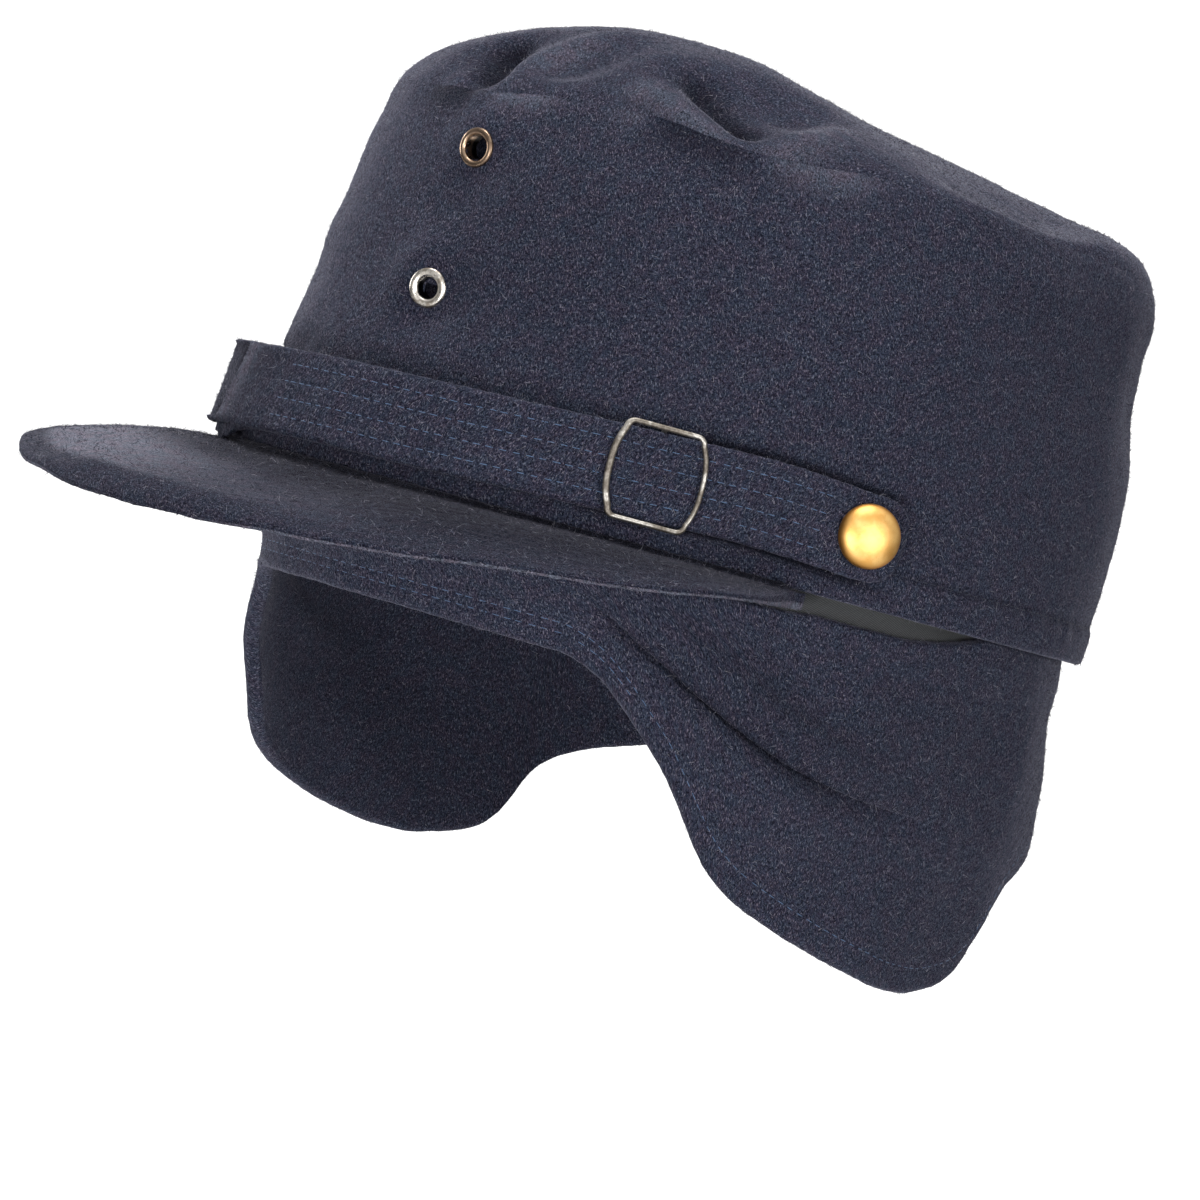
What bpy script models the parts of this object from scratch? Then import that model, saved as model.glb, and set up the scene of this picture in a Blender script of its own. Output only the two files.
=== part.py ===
"""Mountain cap with its ear and neck curtain folded down, as it sits on a head.

Metres, +Z up. The front of the cap is -Y and the wearer's left is +X. The origin is the centre of the
head opening, in the plane of the crown's hem. Angles run round the cap from the front, 0, over the
wearer's left, 90, to the back, 180.
"""

import math

import bmesh
import bpy
import numpy as np
from mathutils import Matrix, Vector

# Clearance between neighbouring pieces
GAP = 0.0003

# Crown: outline of the hem, height of the side wall and rise of the soft top
HEM_HALF_LENGTH = 0.112
HEM_HALF_WIDTH = 0.0915
SIDE_HEIGHT = 0.086
CROWN_WALL = 0.0025
HEM_TURN = 0.008
HEM_SWELL = 0.0006
SHOULDER_HEIGHT = 0.002
DOME_RISE = 0.0250
DENT_DEPTH = 0.006

# Peak
PEAK_LENGTH = 0.056
PEAK_DROP = 0.0135
PEAK_WALL = 0.0037
PEAK_HALF_SPAN = 66.0
PEAK_SPLAY = 0.8

# Ear and neck curtain, with the lining that it hangs from
LOBE_DEPTH = 0.082
CURTAIN_WALL = 0.004
SIDE_SLIT = 0.0050
FOLD_DEPTH = 0.0035
FOLD_WIDTH = 0.0055
LINING_WALL = 0.0012
LINING_TOP = 0.013
LINING_BOTTOM = 0.009
LINING_BEND = 0.006
LINING_CLEARANCE = 0.0007

# Strap across the front
STRAP_WIDTH = 0.019
STRAP_WALL = 0.0022
STRAP_MIDDLE = 0.0150
STRAP_STANDOFF = 0.0075
STRAP_END = 75.8
STRAP_TIP = 0.008
STRAP_LEAN = 0.35

# Slide buckle
BUCKLE_ANGLE = 42.6
BUCKLE_WIRE = 0.0012
BUCKLE_HALF_WIDTH = 0.0086
BUCKLE_BOW = 0.0024
BUCKLE_CORNER = 0.0018
BUCKLE_CLEARANCE = 0.0004
BAR_WIRE = 0.0012
BAR_CLEARANCE = 0.0014

# Side buttons
BUTTON_ANGLE = 70.0
BUTTON_DIAMETER = 0.0142
BUTTON_DOME = 0.0034
BUTTON_RIM = 0.0009
BUTTON_STUD_DIAMETER = 0.0060
BUTTON_STUD = 0.0010

# Eyelets at the front, one above the other, at their depths below the crown's rim
EYELET_DROPS = {"eyelet_upper": 0.0105, "eyelet_lower": 0.0430}
EYELET_DIAMETER = 0.0083
EYELET_HOLE = 0.0046
EYELET_TUBE = 0.0004
EYELET_BEAD = 0.0009
EYELET_WASHER = 0.0005

COLUMNS_ROUND = 60
CURTAIN_COLUMNS = 80
STRAP_COLUMNS = 44
PEAK_COLUMNS = 32


def table(columns, *rows):
    """A short table as one array for each named column."""
    return dict(zip(columns.split(), np.array(rows, float).T))


# Outline of the side wall: height as a share of SIDE_HEIGHT, the reach to the front and to the back as
# shares of HEM_HALF_LENGTH, and the half width as a share of HEM_HALF_WIDTH.
SIDE_ROWS = table(
    "height front back side",
    (0.00, 1.000, 1.000, 1.000),
    (0.03, 1.000, 1.001, 1.000),
    (0.10, 0.972, 1.008, 0.999),
    (0.31, 0.893, 1.015, 0.992),
    (0.50, 0.862, 0.992, 0.990),
    (0.69, 0.850, 0.964, 0.982),
    (0.84, 0.838, 0.950, 0.970),
    (1.00, 0.800, 0.940, 0.930),
)

# Rise of the top panel, as shares of DOME_RISE, from its edge (reach 1) to its middle (reach 0).
DOME_ROWS = table(
    "reach front side back",
    (0.00, 0.870, 0.870, 0.870),
    (0.18, 0.935, 0.845, 0.760),
    (0.36, 0.985, 0.775, 0.600),
    (0.52, 0.965, 0.680, 0.450),
    (0.67, 0.870, 0.550, 0.320),
    (0.80, 0.690, 0.400, 0.215),
    (0.90, 0.460, 0.265, 0.165),
    (0.965, 0.210, 0.120, 0.085),
    (1.00, 0.000, 0.000, 0.000),
)

# Hollows and swells pressed into the top: the angle, how far out they lie, how deep they are as a share
# of DENT_DEPTH, and how wide they are along the radius and round the cap as shares of the radius.
DENTS = table(
    "angle reach depth along round",
    (4.0, 0.86, 0.95, 0.10, 0.15),
    (24.0, 0.80, -0.35, 0.12, 0.16),
    (41.0, 0.80, 1.00, 0.11, 0.17),
    (95.0, 0.84, 0.45, 0.12, 0.26),
    (150.0, 0.62, -0.25, 0.25, 0.35),
    (215.0, 0.80, 0.55, 0.14, 0.24),
    (285.0, 0.82, 0.60, 0.12, 0.25),
    (330.0, 0.78, -0.30, 0.14, 0.20),
)

# Peak: overhang and drop at angles from the front, as shares of PEAK_LENGTH and PEAK_DROP. The angle is
# a share of PEAK_HALF_SPAN.
PEAK_ROWS = table(
    "angle overhang drop",
    (0.00, 1.000, 1.000),
    (0.15, 0.989, 0.980),
    (0.30, 0.954, 0.910),
    (0.45, 0.893, 0.750),
    (0.60, 0.800, 0.530),
    (0.75, 0.661, 0.290),
    (0.87, 0.493, 0.110),
    (0.95, 0.312, 0.030),
    (1.00, 0.060, 0.000),
)

# Lower edge of the curtain as shares of LOBE_DEPTH: forehead band, ear lobe and neck part.
CURTAIN_EDGE = table(
    "angle depth",
    (0.0, 0.330),
    (38.0, 0.325),
    (43.0, 0.345),
    (47.0, 0.395),
    (51.0, 0.475),
    (55.0, 0.570),
    (59.0, 0.665),
    (63.0, 0.755),
    (68.0, 0.845),
    (74.0, 0.920),
    (82.0, 0.968),
    (90.0, 0.990),
    (98.0, 1.000),
    (105.0, 0.993),
    (110.5, 0.950),
    (114.5, 0.860),
    (118.0, 0.745),
    (123.0, 0.640),
    (130.0, 0.565),
    (141.0, 0.530),
    (180.0, 0.525),
)

# Outline of the curtain by its drop below the hem, a share of LOBE_DEPTH, with reaches as in SIDE_ROWS.
CURTAIN_ROWS = table(
    "drop front back side",
    (0.00, 0.950, 0.960, 0.944),
    (0.09, 0.950, 0.960, 0.943),
    (0.16, 0.900, 0.966, 0.941),
    (0.25, 0.852, 0.986, 0.944),
    (0.37, 0.838, 1.005, 0.952),
    (0.52, 0.832, 1.018, 0.955),
    (0.74, 0.815, 1.000, 0.935),
    (1.00, 0.800, 0.965, 0.925),
)

# Tension folds in the ear lobes: the line along which a fold's valley runs, and its strength.
FOLD_LINE = table(
    "angle drop strength",
    (38.0, 0.170, 0.00),
    (46.0, 0.220, 0.70),
    (56.0, 0.310, 1.00),
    (67.0, 0.405, 1.00),
    (77.0, 0.460, 0.80),
    (87.0, 0.500, 0.40),
    (97.0, 0.520, 0.00),
)
FAR_LOBE_FOLD = 0.35

# How far the strap stands off the crown, as a share of STRAP_STANDOFF, and the rise of its middle line
# as a share of STRAP_WIDTH. Angles below 0 are on the wearer's right, where it hangs lower.
STRAP_ROWS = table(
    "angle standoff rise",
    (-90.0, 0.00, -0.04),
    (-70.0, 0.00, -0.04),
    (-58.0, 0.28, -0.09),
    (-43.0, 0.48, -0.13),
    (-20.0, 0.85, -0.11),
    (0.0, 1.00, -0.07),
    (18.0, 0.97, -0.04),
    (32.0, 0.80, 0.00),
    (44.0, 0.55, 0.03),
    (56.0, 0.24, 0.06),
    (65.0, 0.05, 0.03),
    (70.0, 0.00, 0.00),
    (90.0, 0.00, -0.03),
)


def smooth(rows, key, name, at):
    """The named column of a table at a value of its key column, on a smooth curve through the rows."""
    keys, values = rows[key], rows[name]
    at = min(max(at, keys[0]), keys[-1])
    i = min(int(np.searchsorted(keys, at, side="right")) - 1, len(keys) - 2)
    slopes = np.diff(values) / np.diff(keys)

    def tangent(j):
        """Slope of the curve at row j: flat where the column turns, so that it never overshoots."""
        if j == 0:
            return slopes[0]
        if j == len(keys) - 1:
            return slopes[-1]
        before, after = slopes[j - 1], slopes[j]
        if before * after <= 0:
            return 0.0
        return 2 * before * after / (before + after)

    span = keys[i + 1] - keys[i]
    s = (at - keys[i]) / span
    start, end = tangent(i) * span, tangent(i + 1) * span
    return (
        values[i] * (2 * s**3 - 3 * s**2 + 1)
        + values[i + 1] * (3 * s**2 - 2 * s**3)
        + start * (s**3 - 2 * s**2 + s)
        + end * (s**3 - s**2)
    )


def mirrored(angle):
    """The angle from the front on either side, 0 to 180."""
    return abs((angle + 180) % 360 - 180)


def oval(angle, front, back, side):
    """Point of the cap's oval at an angle, from its reach to the front, to the back and to the side."""
    turn = math.radians(angle)
    reach = front if math.cos(turn) > 0 else back
    return Vector((side * math.sin(turn), -reach * math.cos(turn), 0))


def reaches(rows, key, at, inset=0.0):
    """Front, back and side reach in metres at a row of an outline table, less an inset."""
    return (
        smooth(rows, key, "front", at) * HEM_HALF_LENGTH - inset,
        smooth(rows, key, "back", at) * HEM_HALF_LENGTH - inset,
        smooth(rows, key, "side", at) * HEM_HALF_WIDTH - inset,
    )


def side_point(angle, z, inset=0.0):
    """Point on the outside of the crown's side wall. The turned hem swells out a little."""
    swell = HEM_SWELL if z < HEM_TURN else 0.0
    point = oval(angle, *reaches(SIDE_ROWS, "height", z / SIDE_HEIGHT, inset - swell))
    point.z = z
    return point


def side_normal(angle, z):
    """Outward direction of the side wall."""
    step = 0.002
    along = side_point(angle + 1, z) - side_point(angle - 1, z)
    up = side_point(angle, z + step) - side_point(angle, z - step)
    return along.cross(up).normalized()


def dent(angle, reach):
    """How far the dents press the top in at a place, as a share of DENT_DEPTH."""
    total = 0.0
    for i, centre in enumerate(DENTS["angle"]):
        turn = mirrored(angle - centre)
        across = math.radians(turn) * reach / DENTS["round"][i]
        along = (reach - DENTS["reach"][i]) / DENTS["along"][i]
        total += DENTS["depth"][i] * math.exp(-(across**2) - along**2)
    return total


def top_point(angle, reach):
    """Point on the outside of the top panel, from its edge at reach 1 to its middle at reach 0."""
    front, back, side = reaches(SIDE_ROWS, "height", 1.0)
    edge = oval(angle, front, back, side)
    turn = math.radians(angle)
    along = "front" if math.cos(turn) > 0 else "back"
    lengthways = smooth(DOME_ROWS, "reach", along, reach)
    sideways = smooth(DOME_ROWS, "reach", "side", reach)
    share = lengthways * math.cos(turn) ** 2 + sideways * math.sin(turn) ** 2
    rise = DOME_RISE * share - DENT_DEPTH * dent(angle, reach) * min(1.0, (1 - reach) / 0.08)
    base = SIDE_HEIGHT + GAP + SHOULDER_HEIGHT
    return Vector((edge.x * reach, edge.y * reach, base + rise))


def curtain_edge(angle):
    """Depth of the curtain's lower edge below the hem."""
    return LOBE_DEPTH * smooth(CURTAIN_EDGE, "angle", "depth", mirrored(angle))


def curtain_top():
    """Depth of the curtain's upper edge below the hem: it hangs just under the peak."""
    return max(SIDE_SLIT, PEAK_WALL + 2 * GAP)


def fold(angle, drop):
    """How far the tension folds push a lobe out, in metres."""
    turn = mirrored(angle)
    strength = smooth(FOLD_LINE, "angle", "strength", turn)
    if angle % 360 > 180:
        strength *= FAR_LOBE_FOLD
    line = smooth(FOLD_LINE, "angle", "drop", turn) * LOBE_DEPTH
    above = (line - drop) / FOLD_WIDTH
    valley = math.exp(-((above + 0.35) ** 2) * 2.2)
    ridge = math.exp(-((above - 0.95) ** 2) * 1.1)
    return FOLD_DEPTH * strength * (0.55 * ridge - 0.65 * valley)


def curtain_point(angle, drop, inset=0.0):
    """Point on the outside of the curtain at a depth below the hem."""
    point = oval(angle, *reaches(CURTAIN_ROWS, "drop", drop / LOBE_DEPTH, inset))
    out = Vector((point.x, point.y, 0)).normalized()
    point += out * fold(angle, drop)
    point.z = -drop
    return point


def curtain_normal(angle, drop):
    """Outward direction of the curtain."""
    step = 0.001
    along = curtain_point(angle + 1, drop) - curtain_point(angle - 1, drop)
    up = curtain_point(angle, drop - step) - curtain_point(angle, drop + step)
    return along.cross(up).normalized()


def lining_point(angle, z):
    """Point on the outside of the lining: against the crown above, against the curtain below."""
    if z >= LINING_BEND:
        return side_point(angle, z) - side_normal(angle, z) * (CROWN_WALL + LINING_CLEARANCE)
    drop = max(-z, 0.0)
    below = curtain_point(angle, drop) - curtain_normal(angle, drop) * (CURTAIN_WALL + LINING_CLEARANCE)
    if z < 0:
        return below
    point = below.lerp(lining_point(angle, LINING_BEND), z / LINING_BEND)
    point.z = z
    return point


def strap_base(angle):
    """Room for the strap's layers between its outer face and the crown."""
    turned = min(max((BUCKLE_ANGLE - angle) / BUCKLE_ANGLE, 0.0), 1.0)
    layers = 1 + turned * turned * (3 - 2 * turned)
    return HEM_SWELL + layers * (STRAP_WALL + GAP)


def strap_point(angle, across, behind=0.0):
    """Point on the strap's outer face: across runs from -0.5 at its lower edge to 0.5 at its upper."""
    rise = smooth(STRAP_ROWS, "angle", "rise", angle) * STRAP_WIDTH
    standoff = smooth(STRAP_ROWS, "angle", "standoff", angle)
    z = STRAP_MIDDLE + rise + across * STRAP_WIDTH
    lean = 1 - (1 - STRAP_LEAN) * min(1.0, 2 * standoff)
    wall_z = STRAP_MIDDLE + (z - STRAP_MIDDLE) * lean
    out = STRAP_STANDOFF * standoff + strap_base(angle) - behind
    point = side_point(angle, max(wall_z, HEM_TURN), -out)
    point.z = z
    return point


def material(name, colour, roughness, metallic=0.0):
    made = bpy.data.materials.new(name)
    made.use_nodes = True
    shader = made.node_tree.nodes["Principled BSDF"]
    shader.inputs["Base Color"].default_value = (*colour, 1)
    shader.inputs["Roughness"].default_value = roughness
    shader.inputs["Metallic"].default_value = metallic
    made.diffuse_color = (*colour, 1)
    return made


def collection(name):
    made = bpy.data.collections.new(name)
    bpy.context.scene.collection.children.link(made)
    return made


def mesh_object(name, bm, finish, home):
    """An object with its own copy of a finish, from a bmesh."""
    mesh = bpy.data.meshes.new(name)
    bm.to_mesh(mesh)
    bm.free()
    mesh.shade_smooth()
    mesh.set_sharp_from_angle(angle=math.radians(40))
    made = bpy.data.objects.new(name, mesh)
    mesh.materials.append(finish)
    home.objects.link(made)
    return made


def surface(rows, closed):
    """A bmesh grid through rows of points. With closed rows, each row is a ring round the cap."""
    bm = bmesh.new()
    grid = [[bm.verts.new(point) for point in row] for row in rows]
    count = len(rows[0])
    for lower, upper in zip(grid, grid[1:]):
        for i in range(count if closed else count - 1):
            j = (i + 1) % count
            bm.faces.new((lower[i], lower[j], upper[j], upper[i]))
    return bm, grid


def solidify(made, thickness):
    """Gives an open surface its wall, on the inner side."""
    wall = made.modifiers.new("wall", "SOLIDIFY")
    wall.thickness = thickness
    wall.offset = -1
    wall.use_even_offset = True
    return made


def ring_angles(count):
    return [360.0 * i / count for i in range(count)]


def build_crown_side(finish, home):
    stitched = [HEM_TURN - HEM_SWELL, HEM_TURN + HEM_SWELL]
    heights = [0.0, SIDE_ROWS["height"][1] * SIDE_HEIGHT, *stitched]
    heights += list(np.linspace(HEM_TURN + HEM_SWELL, SIDE_HEIGHT, 7)[1:])
    rows = [[side_point(angle, z) for angle in ring_angles(COLUMNS_ROUND)] for z in heights]
    bm, _ = surface(rows, closed=True)
    return solidify(mesh_object("crown_side", bm, finish, home), CROWN_WALL)


def build_crown_top(finish, home):
    angles = ring_angles(COLUMNS_ROUND)
    edge = [top_point(angle, 1.0) for angle in angles]
    lip = [point - Vector((0, 0, SHOULDER_HEIGHT)) for point in edge]
    shares = [0.965, 0.90, 0.82, 0.73, 0.61, 0.45, 0.25]
    rows = [lip, edge] + [[top_point(angle, share) for angle in angles] for share in shares]
    bm, grid = surface(rows, closed=True)
    middle = bm.verts.new(top_point(0.0, 0.0))
    last = grid[-1]
    for i, vert in enumerate(last):
        bm.faces.new((vert, last[(i + 1) % len(last)], middle))
    return solidify(mesh_object("crown_top", bm, finish, home), CROWN_WALL)


def peak_point(share, out):
    """Point on top of the peak. share runs from -1 to 1 across the front, out from 0 at the hem to 1."""
    turn = abs(share)
    angle = share * PEAK_HALF_SPAN
    start = side_point(angle, 0.0)
    reach = PEAK_LENGTH * smooth(PEAK_ROWS, "angle", "overhang", turn) * out
    heading = math.radians(angle * PEAK_SPLAY)
    drop = PEAK_DROP * smooth(PEAK_ROWS, "angle", "drop", turn) * out**1.15
    return start + Vector((reach * math.sin(heading), -reach * math.cos(heading), -GAP - drop))


def build_peak(finish, home):
    shares = np.linspace(1.0, -1.0, PEAK_COLUMNS + 1)
    inner = []
    for share in shares:
        seat = oval(share * PEAK_HALF_SPAN, *reaches(CURTAIN_ROWS, "drop", 0.0, CURTAIN_WALL))
        seat.z = -GAP
        inner.append(seat)
    steps = [0.0, 0.22, 0.45, 0.68, 0.88, 1.0]
    rows = [inner] + [[peak_point(share, out) for share in shares] for out in steps]
    bm, _ = surface(rows, closed=False)
    return solidify(mesh_object("peak", bm, finish, home), PEAK_WALL)


def build_curtain(finish, home):
    rows = []
    for share in (1.0, 0.86, 0.72, 0.58, 0.45, 0.32, 0.19, 0.08, 0.0):
        row = []
        for angle in ring_angles(CURTAIN_COLUMNS):
            top, bottom = curtain_top(), curtain_edge(angle)
            row.append(curtain_point(angle, top + (bottom - top) * share))
        rows.append(row)
    bm, _ = surface(rows, closed=True)
    return solidify(mesh_object("ear_flap_curtain", bm, finish, home), CURTAIN_WALL)


def build_lining(finish, home):
    heights = [-LINING_BOTTOM, -LINING_BOTTOM / 2, 0.0, LINING_BEND, LINING_TOP]
    rows = [[lining_point(angle, z) for angle in ring_angles(COLUMNS_ROUND)] for z in heights]
    bm, _ = surface(rows, closed=True)
    return solidify(mesh_object("lining_band", bm, finish, home), LINING_WALL)


def strap_angles(start, end, count):
    """Angles from one end of a strap to the other, closer together where a tip is rounded."""
    spread = np.linspace(-1, 1, count + 1)
    eased = spread + 0.10 * np.sin(np.pi * spread)
    return start + (end - start) * (eased + 1) / 2


def tip_width(angle, ends):
    """Width of the strap near a rounded tip, as a share of STRAP_WIDTH."""
    width = 1.0
    for end in ends:
        distance = (strap_point(angle, 0) - strap_point(end, 0)).length
        if distance < STRAP_TIP:
            left = 1 - distance / STRAP_TIP
            width = min(width, 0.35 + 0.65 * math.sqrt(1 - left * left))
    return width


def build_strap(name, start, end, behind, tips, finish, home):
    rows = []
    angles = strap_angles(start, end, STRAP_COLUMNS)
    for across in (-0.5, 0.0, 0.5):
        rows.append([strap_point(a, across * tip_width(a, tips), behind) for a in angles])
    bm, _ = surface(rows, closed=False)
    return solidify(mesh_object(name, bm, finish, home), STRAP_WALL)


def facing(origin, normal):
    """A placement whose local Z is a normal and whose local Y is as near to up as it can be."""
    z = normal.normalized()
    x = Vector((0, 0, 1)).cross(z).normalized()
    y = z.cross(x)
    placed = Matrix((x, y, z)).transposed().to_4x4()
    placed.translation = origin
    return placed


def strap_frame(angle, lift):
    """Placement on the strap's outer face, its local Z pointing away from the cap."""
    along = strap_point(angle + 1, 0) - strap_point(angle - 1, 0)
    up = strap_point(angle, 0.3) - strap_point(angle, -0.3)
    normal = along.cross(up).normalized()
    return facing(strap_point(angle, 0) + normal * lift, normal)


def wire(name, points, diameter, cyclic):
    """A round wire through points as a closed mesh object, its caps welded."""
    curve = bpy.data.curves.new(name, "CURVE")
    curve.dimensions = "3D"
    curve.bevel_depth = diameter / 2
    curve.bevel_resolution = 2
    curve.use_fill_caps = not cyclic
    spline = curve.splines.new("POLY")
    spline.points.add(len(points) - 1)
    for point, place in zip(spline.points, points):
        point.co = (*place, 1)
    spline.use_cyclic_u = cyclic
    guide = bpy.data.objects.new(name + "_curve", curve)
    bpy.context.scene.collection.objects.link(guide)
    graph = bpy.context.evaluated_depsgraph_get()
    mesh = bpy.data.meshes.new_from_object(guide.evaluated_get(graph))
    bpy.data.objects.remove(guide)
    bm = bmesh.new()
    bm.from_mesh(mesh)
    bmesh.ops.remove_doubles(bm, verts=bm.verts, dist=0.00001)
    bmesh.ops.recalc_face_normals(bm, faces=bm.faces)
    bpy.data.meshes.remove(mesh)
    return bm


def buckle_outline(half_height):
    """The frame's wire in its own plane: rounded corners, with sides that bow out."""
    points = []
    corner = BUCKLE_CORNER
    quarter = [
        (BUCKLE_HALF_WIDTH - corner, half_height - corner, 0),
        (-BUCKLE_HALF_WIDTH + corner, half_height - corner, 90),
        (-BUCKLE_HALF_WIDTH + corner, -half_height + corner, 180),
        (BUCKLE_HALF_WIDTH - corner, -half_height + corner, 270),
    ]
    for x, y, start in quarter:
        for step in (0, 30, 60, 90):
            turn = math.radians(start + step)
            points.append(Vector((x + corner * math.cos(turn), y + corner * math.sin(turn), 0)))
        if start in (90, 270):
            side = -1 if start == 90 else 1
            for share in (0.25, 0.5, 0.75):
                across = (half_height - corner) * (1 - 2 * share) * -side
                bow = BUCKLE_BOW * math.sin(math.pi * share)
                points.append(Vector((side * (BUCKLE_HALF_WIDTH + bow), across, 0)))
    return points


def build_buckle(finish, home, cutters):
    """Wire frame in front of the strap, with a centre bar that passes behind it."""
    radius = BUCKLE_WIRE / 2
    half_height = STRAP_WIDTH / 2 + BUCKLE_CLEARANCE + radius
    frame_bm = wire("buckle_frame", buckle_outline(half_height), BUCKLE_WIRE, cyclic=True)
    depth = radius + 2 * GAP + STRAP_WALL + BAR_WIRE / 2
    bar_points = [
        Vector((0, half_height, 0)),
        Vector((0, half_height, -depth * 0.8)),
        Vector((0, half_height - depth * 0.2, -depth)),
        Vector((0, -half_height + depth * 0.2, -depth)),
        Vector((0, -half_height, -depth * 0.8)),
        Vector((0, -half_height, 0)),
    ]
    bar_bm = wire("buckle_bar", bar_points, BAR_WIRE, cyclic=False)
    placed = strap_frame(BUCKLE_ANGLE, radius + GAP)
    buckle = mesh_object("slide_buckle", frame_bm, finish, home)
    bar = mesh_object("buckle_bar", bar_bm, finish, cutters)
    for made in (buckle, bar):
        made.matrix_world = placed
    bar.hide_render = True
    bar.display_type = "WIRE"
    union = buckle.modifiers.new("bar", "BOOLEAN")
    union.operation = "UNION"
    union.object = bar
    return buckle


def turned(name, profile, steps, finish, home, loop=False):
    """A turned piece about its local Z, from a profile of (radius, height) that runs down its outside."""
    mesh = bpy.data.meshes.new(name)
    edges = [(i, i + 1) for i in range(len(profile) - 1)]
    if loop:
        edges.append((len(profile) - 1, 0))
    mesh.from_pydata([(radius, 0, height) for radius, height in profile], edges, [])
    made = bpy.data.objects.new(name, mesh)
    mesh.materials.append(finish)
    home.objects.link(made)
    screw = made.modifiers.new("turn", "SCREW")
    screw.steps = steps
    screw.render_steps = steps
    screw.use_merge_vertices = True
    screw.merge_threshold = 0.00001
    return made


def build_button(name, angle, finish, home):
    """Domed button with a short stud that seats it on the strap."""
    radius = BUTTON_DIAMETER / 2
    profile = [(0.0, BUTTON_STUD + BUTTON_RIM + BUTTON_DOME)]
    for step in range(1, 7):
        turn = math.radians(90 * step / 6)
        height = BUTTON_STUD + BUTTON_RIM + BUTTON_DOME * math.cos(turn)
        profile.append((radius * math.sin(turn), height))
    profile += [
        (radius, BUTTON_STUD + BUTTON_RIM * 0.4),
        (radius - BUTTON_RIM * 0.5, BUTTON_STUD),
        (BUTTON_STUD_DIAMETER / 2, BUTTON_STUD),
        (BUTTON_STUD_DIAMETER / 2, 0.0),
        (0.0, 0.0),
    ]
    made = turned(name, profile, 16, finish, home)
    made.matrix_world = strap_frame(angle, GAP)
    return made


def eyelet_place(z):
    normal = side_normal(0.0, z)
    return facing(side_point(0.0, z), normal)


def build_eyelet(name, z, finish, home):
    """Rolled flange outside, a tube through the wall and a washer inside."""
    inner = EYELET_HOLE / 2
    tube = inner + EYELET_TUBE
    outer = EYELET_DIAMETER / 2
    back = -CROWN_WALL - 2 * GAP
    profile = [
        (inner, GAP + EYELET_BEAD * 0.55),
        (inner + (outer - inner) * 0.20, GAP + EYELET_BEAD * 0.90),
        (inner + (outer - inner) * 0.45, GAP + EYELET_BEAD),
        (inner + (outer - inner) * 0.80, GAP + EYELET_BEAD * 0.80),
        (outer, GAP + EYELET_BEAD * 0.30),
        (outer, GAP),
        (tube, GAP),
        (tube, back),
        (outer * 0.94, back),
        (outer * 0.94, back - EYELET_WASHER),
        (inner, back - EYELET_WASHER),
    ]
    made = turned(name, profile, 12, finish, home, loop=True)
    made.matrix_world = eyelet_place(z)
    return made


def cut_eyelet_hole(wall, name, z, cutters):
    bm = bmesh.new()
    radius = EYELET_HOLE / 2 + EYELET_TUBE + GAP
    bmesh.ops.create_cone(
        bm, cap_ends=True, segments=16, radius1=radius, radius2=radius, depth=6 * CROWN_WALL
    )
    mesh = bpy.data.meshes.new(name + "_hole")
    bm.to_mesh(mesh)
    bm.free()
    cutter = bpy.data.objects.new(name + "_hole", mesh)
    cutters.objects.link(cutter)
    cutter.matrix_world = eyelet_place(z)
    cutter.hide_render = True
    cutter.display_type = "WIRE"
    cut = wall.modifiers.new(name + "_hole", "BOOLEAN")
    cut.operation = "DIFFERENCE"
    cut.object = cutter


def main():
    for old in list(bpy.data.objects):
        bpy.data.objects.remove(old)
    home = collection("mountain_cap")
    cutters = collection("cutters")

    def wool(name):
        return material(name, (0.036, 0.036, 0.058), 0.95)

    side = build_crown_side(wool("crown_wool"), home)
    build_crown_top(wool("top_wool"), home)
    build_peak(wool("peak_wool"), home)
    build_curtain(wool("curtain_wool"), home)
    build_lining(material("lining_twill", (0.055, 0.057, 0.062), 0.75), home)
    under_start = BUCKLE_ANGLE - math.degrees((BAR_WIRE / 2 + BAR_CLEARANCE) / HEM_HALF_WIDTH)
    build_strap("strap_outer", -STRAP_END, STRAP_END, 0.0, (-STRAP_END, STRAP_END), wool("strap_wool"), home)
    behind = STRAP_WALL + GAP
    build_strap(
        "strap_under", -STRAP_END, under_start, behind, (-STRAP_END,), wool("under_strap_wool"), home
    )
    build_buckle(material("buckle_metal", (0.34, 0.31, 0.27), 0.35, 1.0), home, cutters)
    for name, angle in (("button_left", BUTTON_ANGLE), ("button_right", -BUTTON_ANGLE)):
        build_button(name, angle, material(name + "_metal", (0.85, 0.58, 0.24), 0.3, 1.0), home)
    eyelet_colours = {"eyelet_upper": (0.30, 0.22, 0.15), "eyelet_lower": (0.62, 0.58, 0.53)}
    for name, drop in EYELET_DROPS.items():
        z = SIDE_HEIGHT - drop
        build_eyelet(name, z, material(name + "_metal", eyelet_colours[name], 0.3, 1.0), home)
        cut_eyelet_hole(side, name, z, cutters)


main()
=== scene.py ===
"""Looks of the mountain cap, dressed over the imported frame.

Metres, +Z up, the front of the cap at -Y and the wearer's left at +X, as in the frame. Angles run round
the cap from the front, 0, over the wearer's left, 90, to the back, 180.
"""

import math
from contextlib import contextmanager

import bmesh
import bpy
import numpy as np
from mathutils import Matrix, Vector


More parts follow.
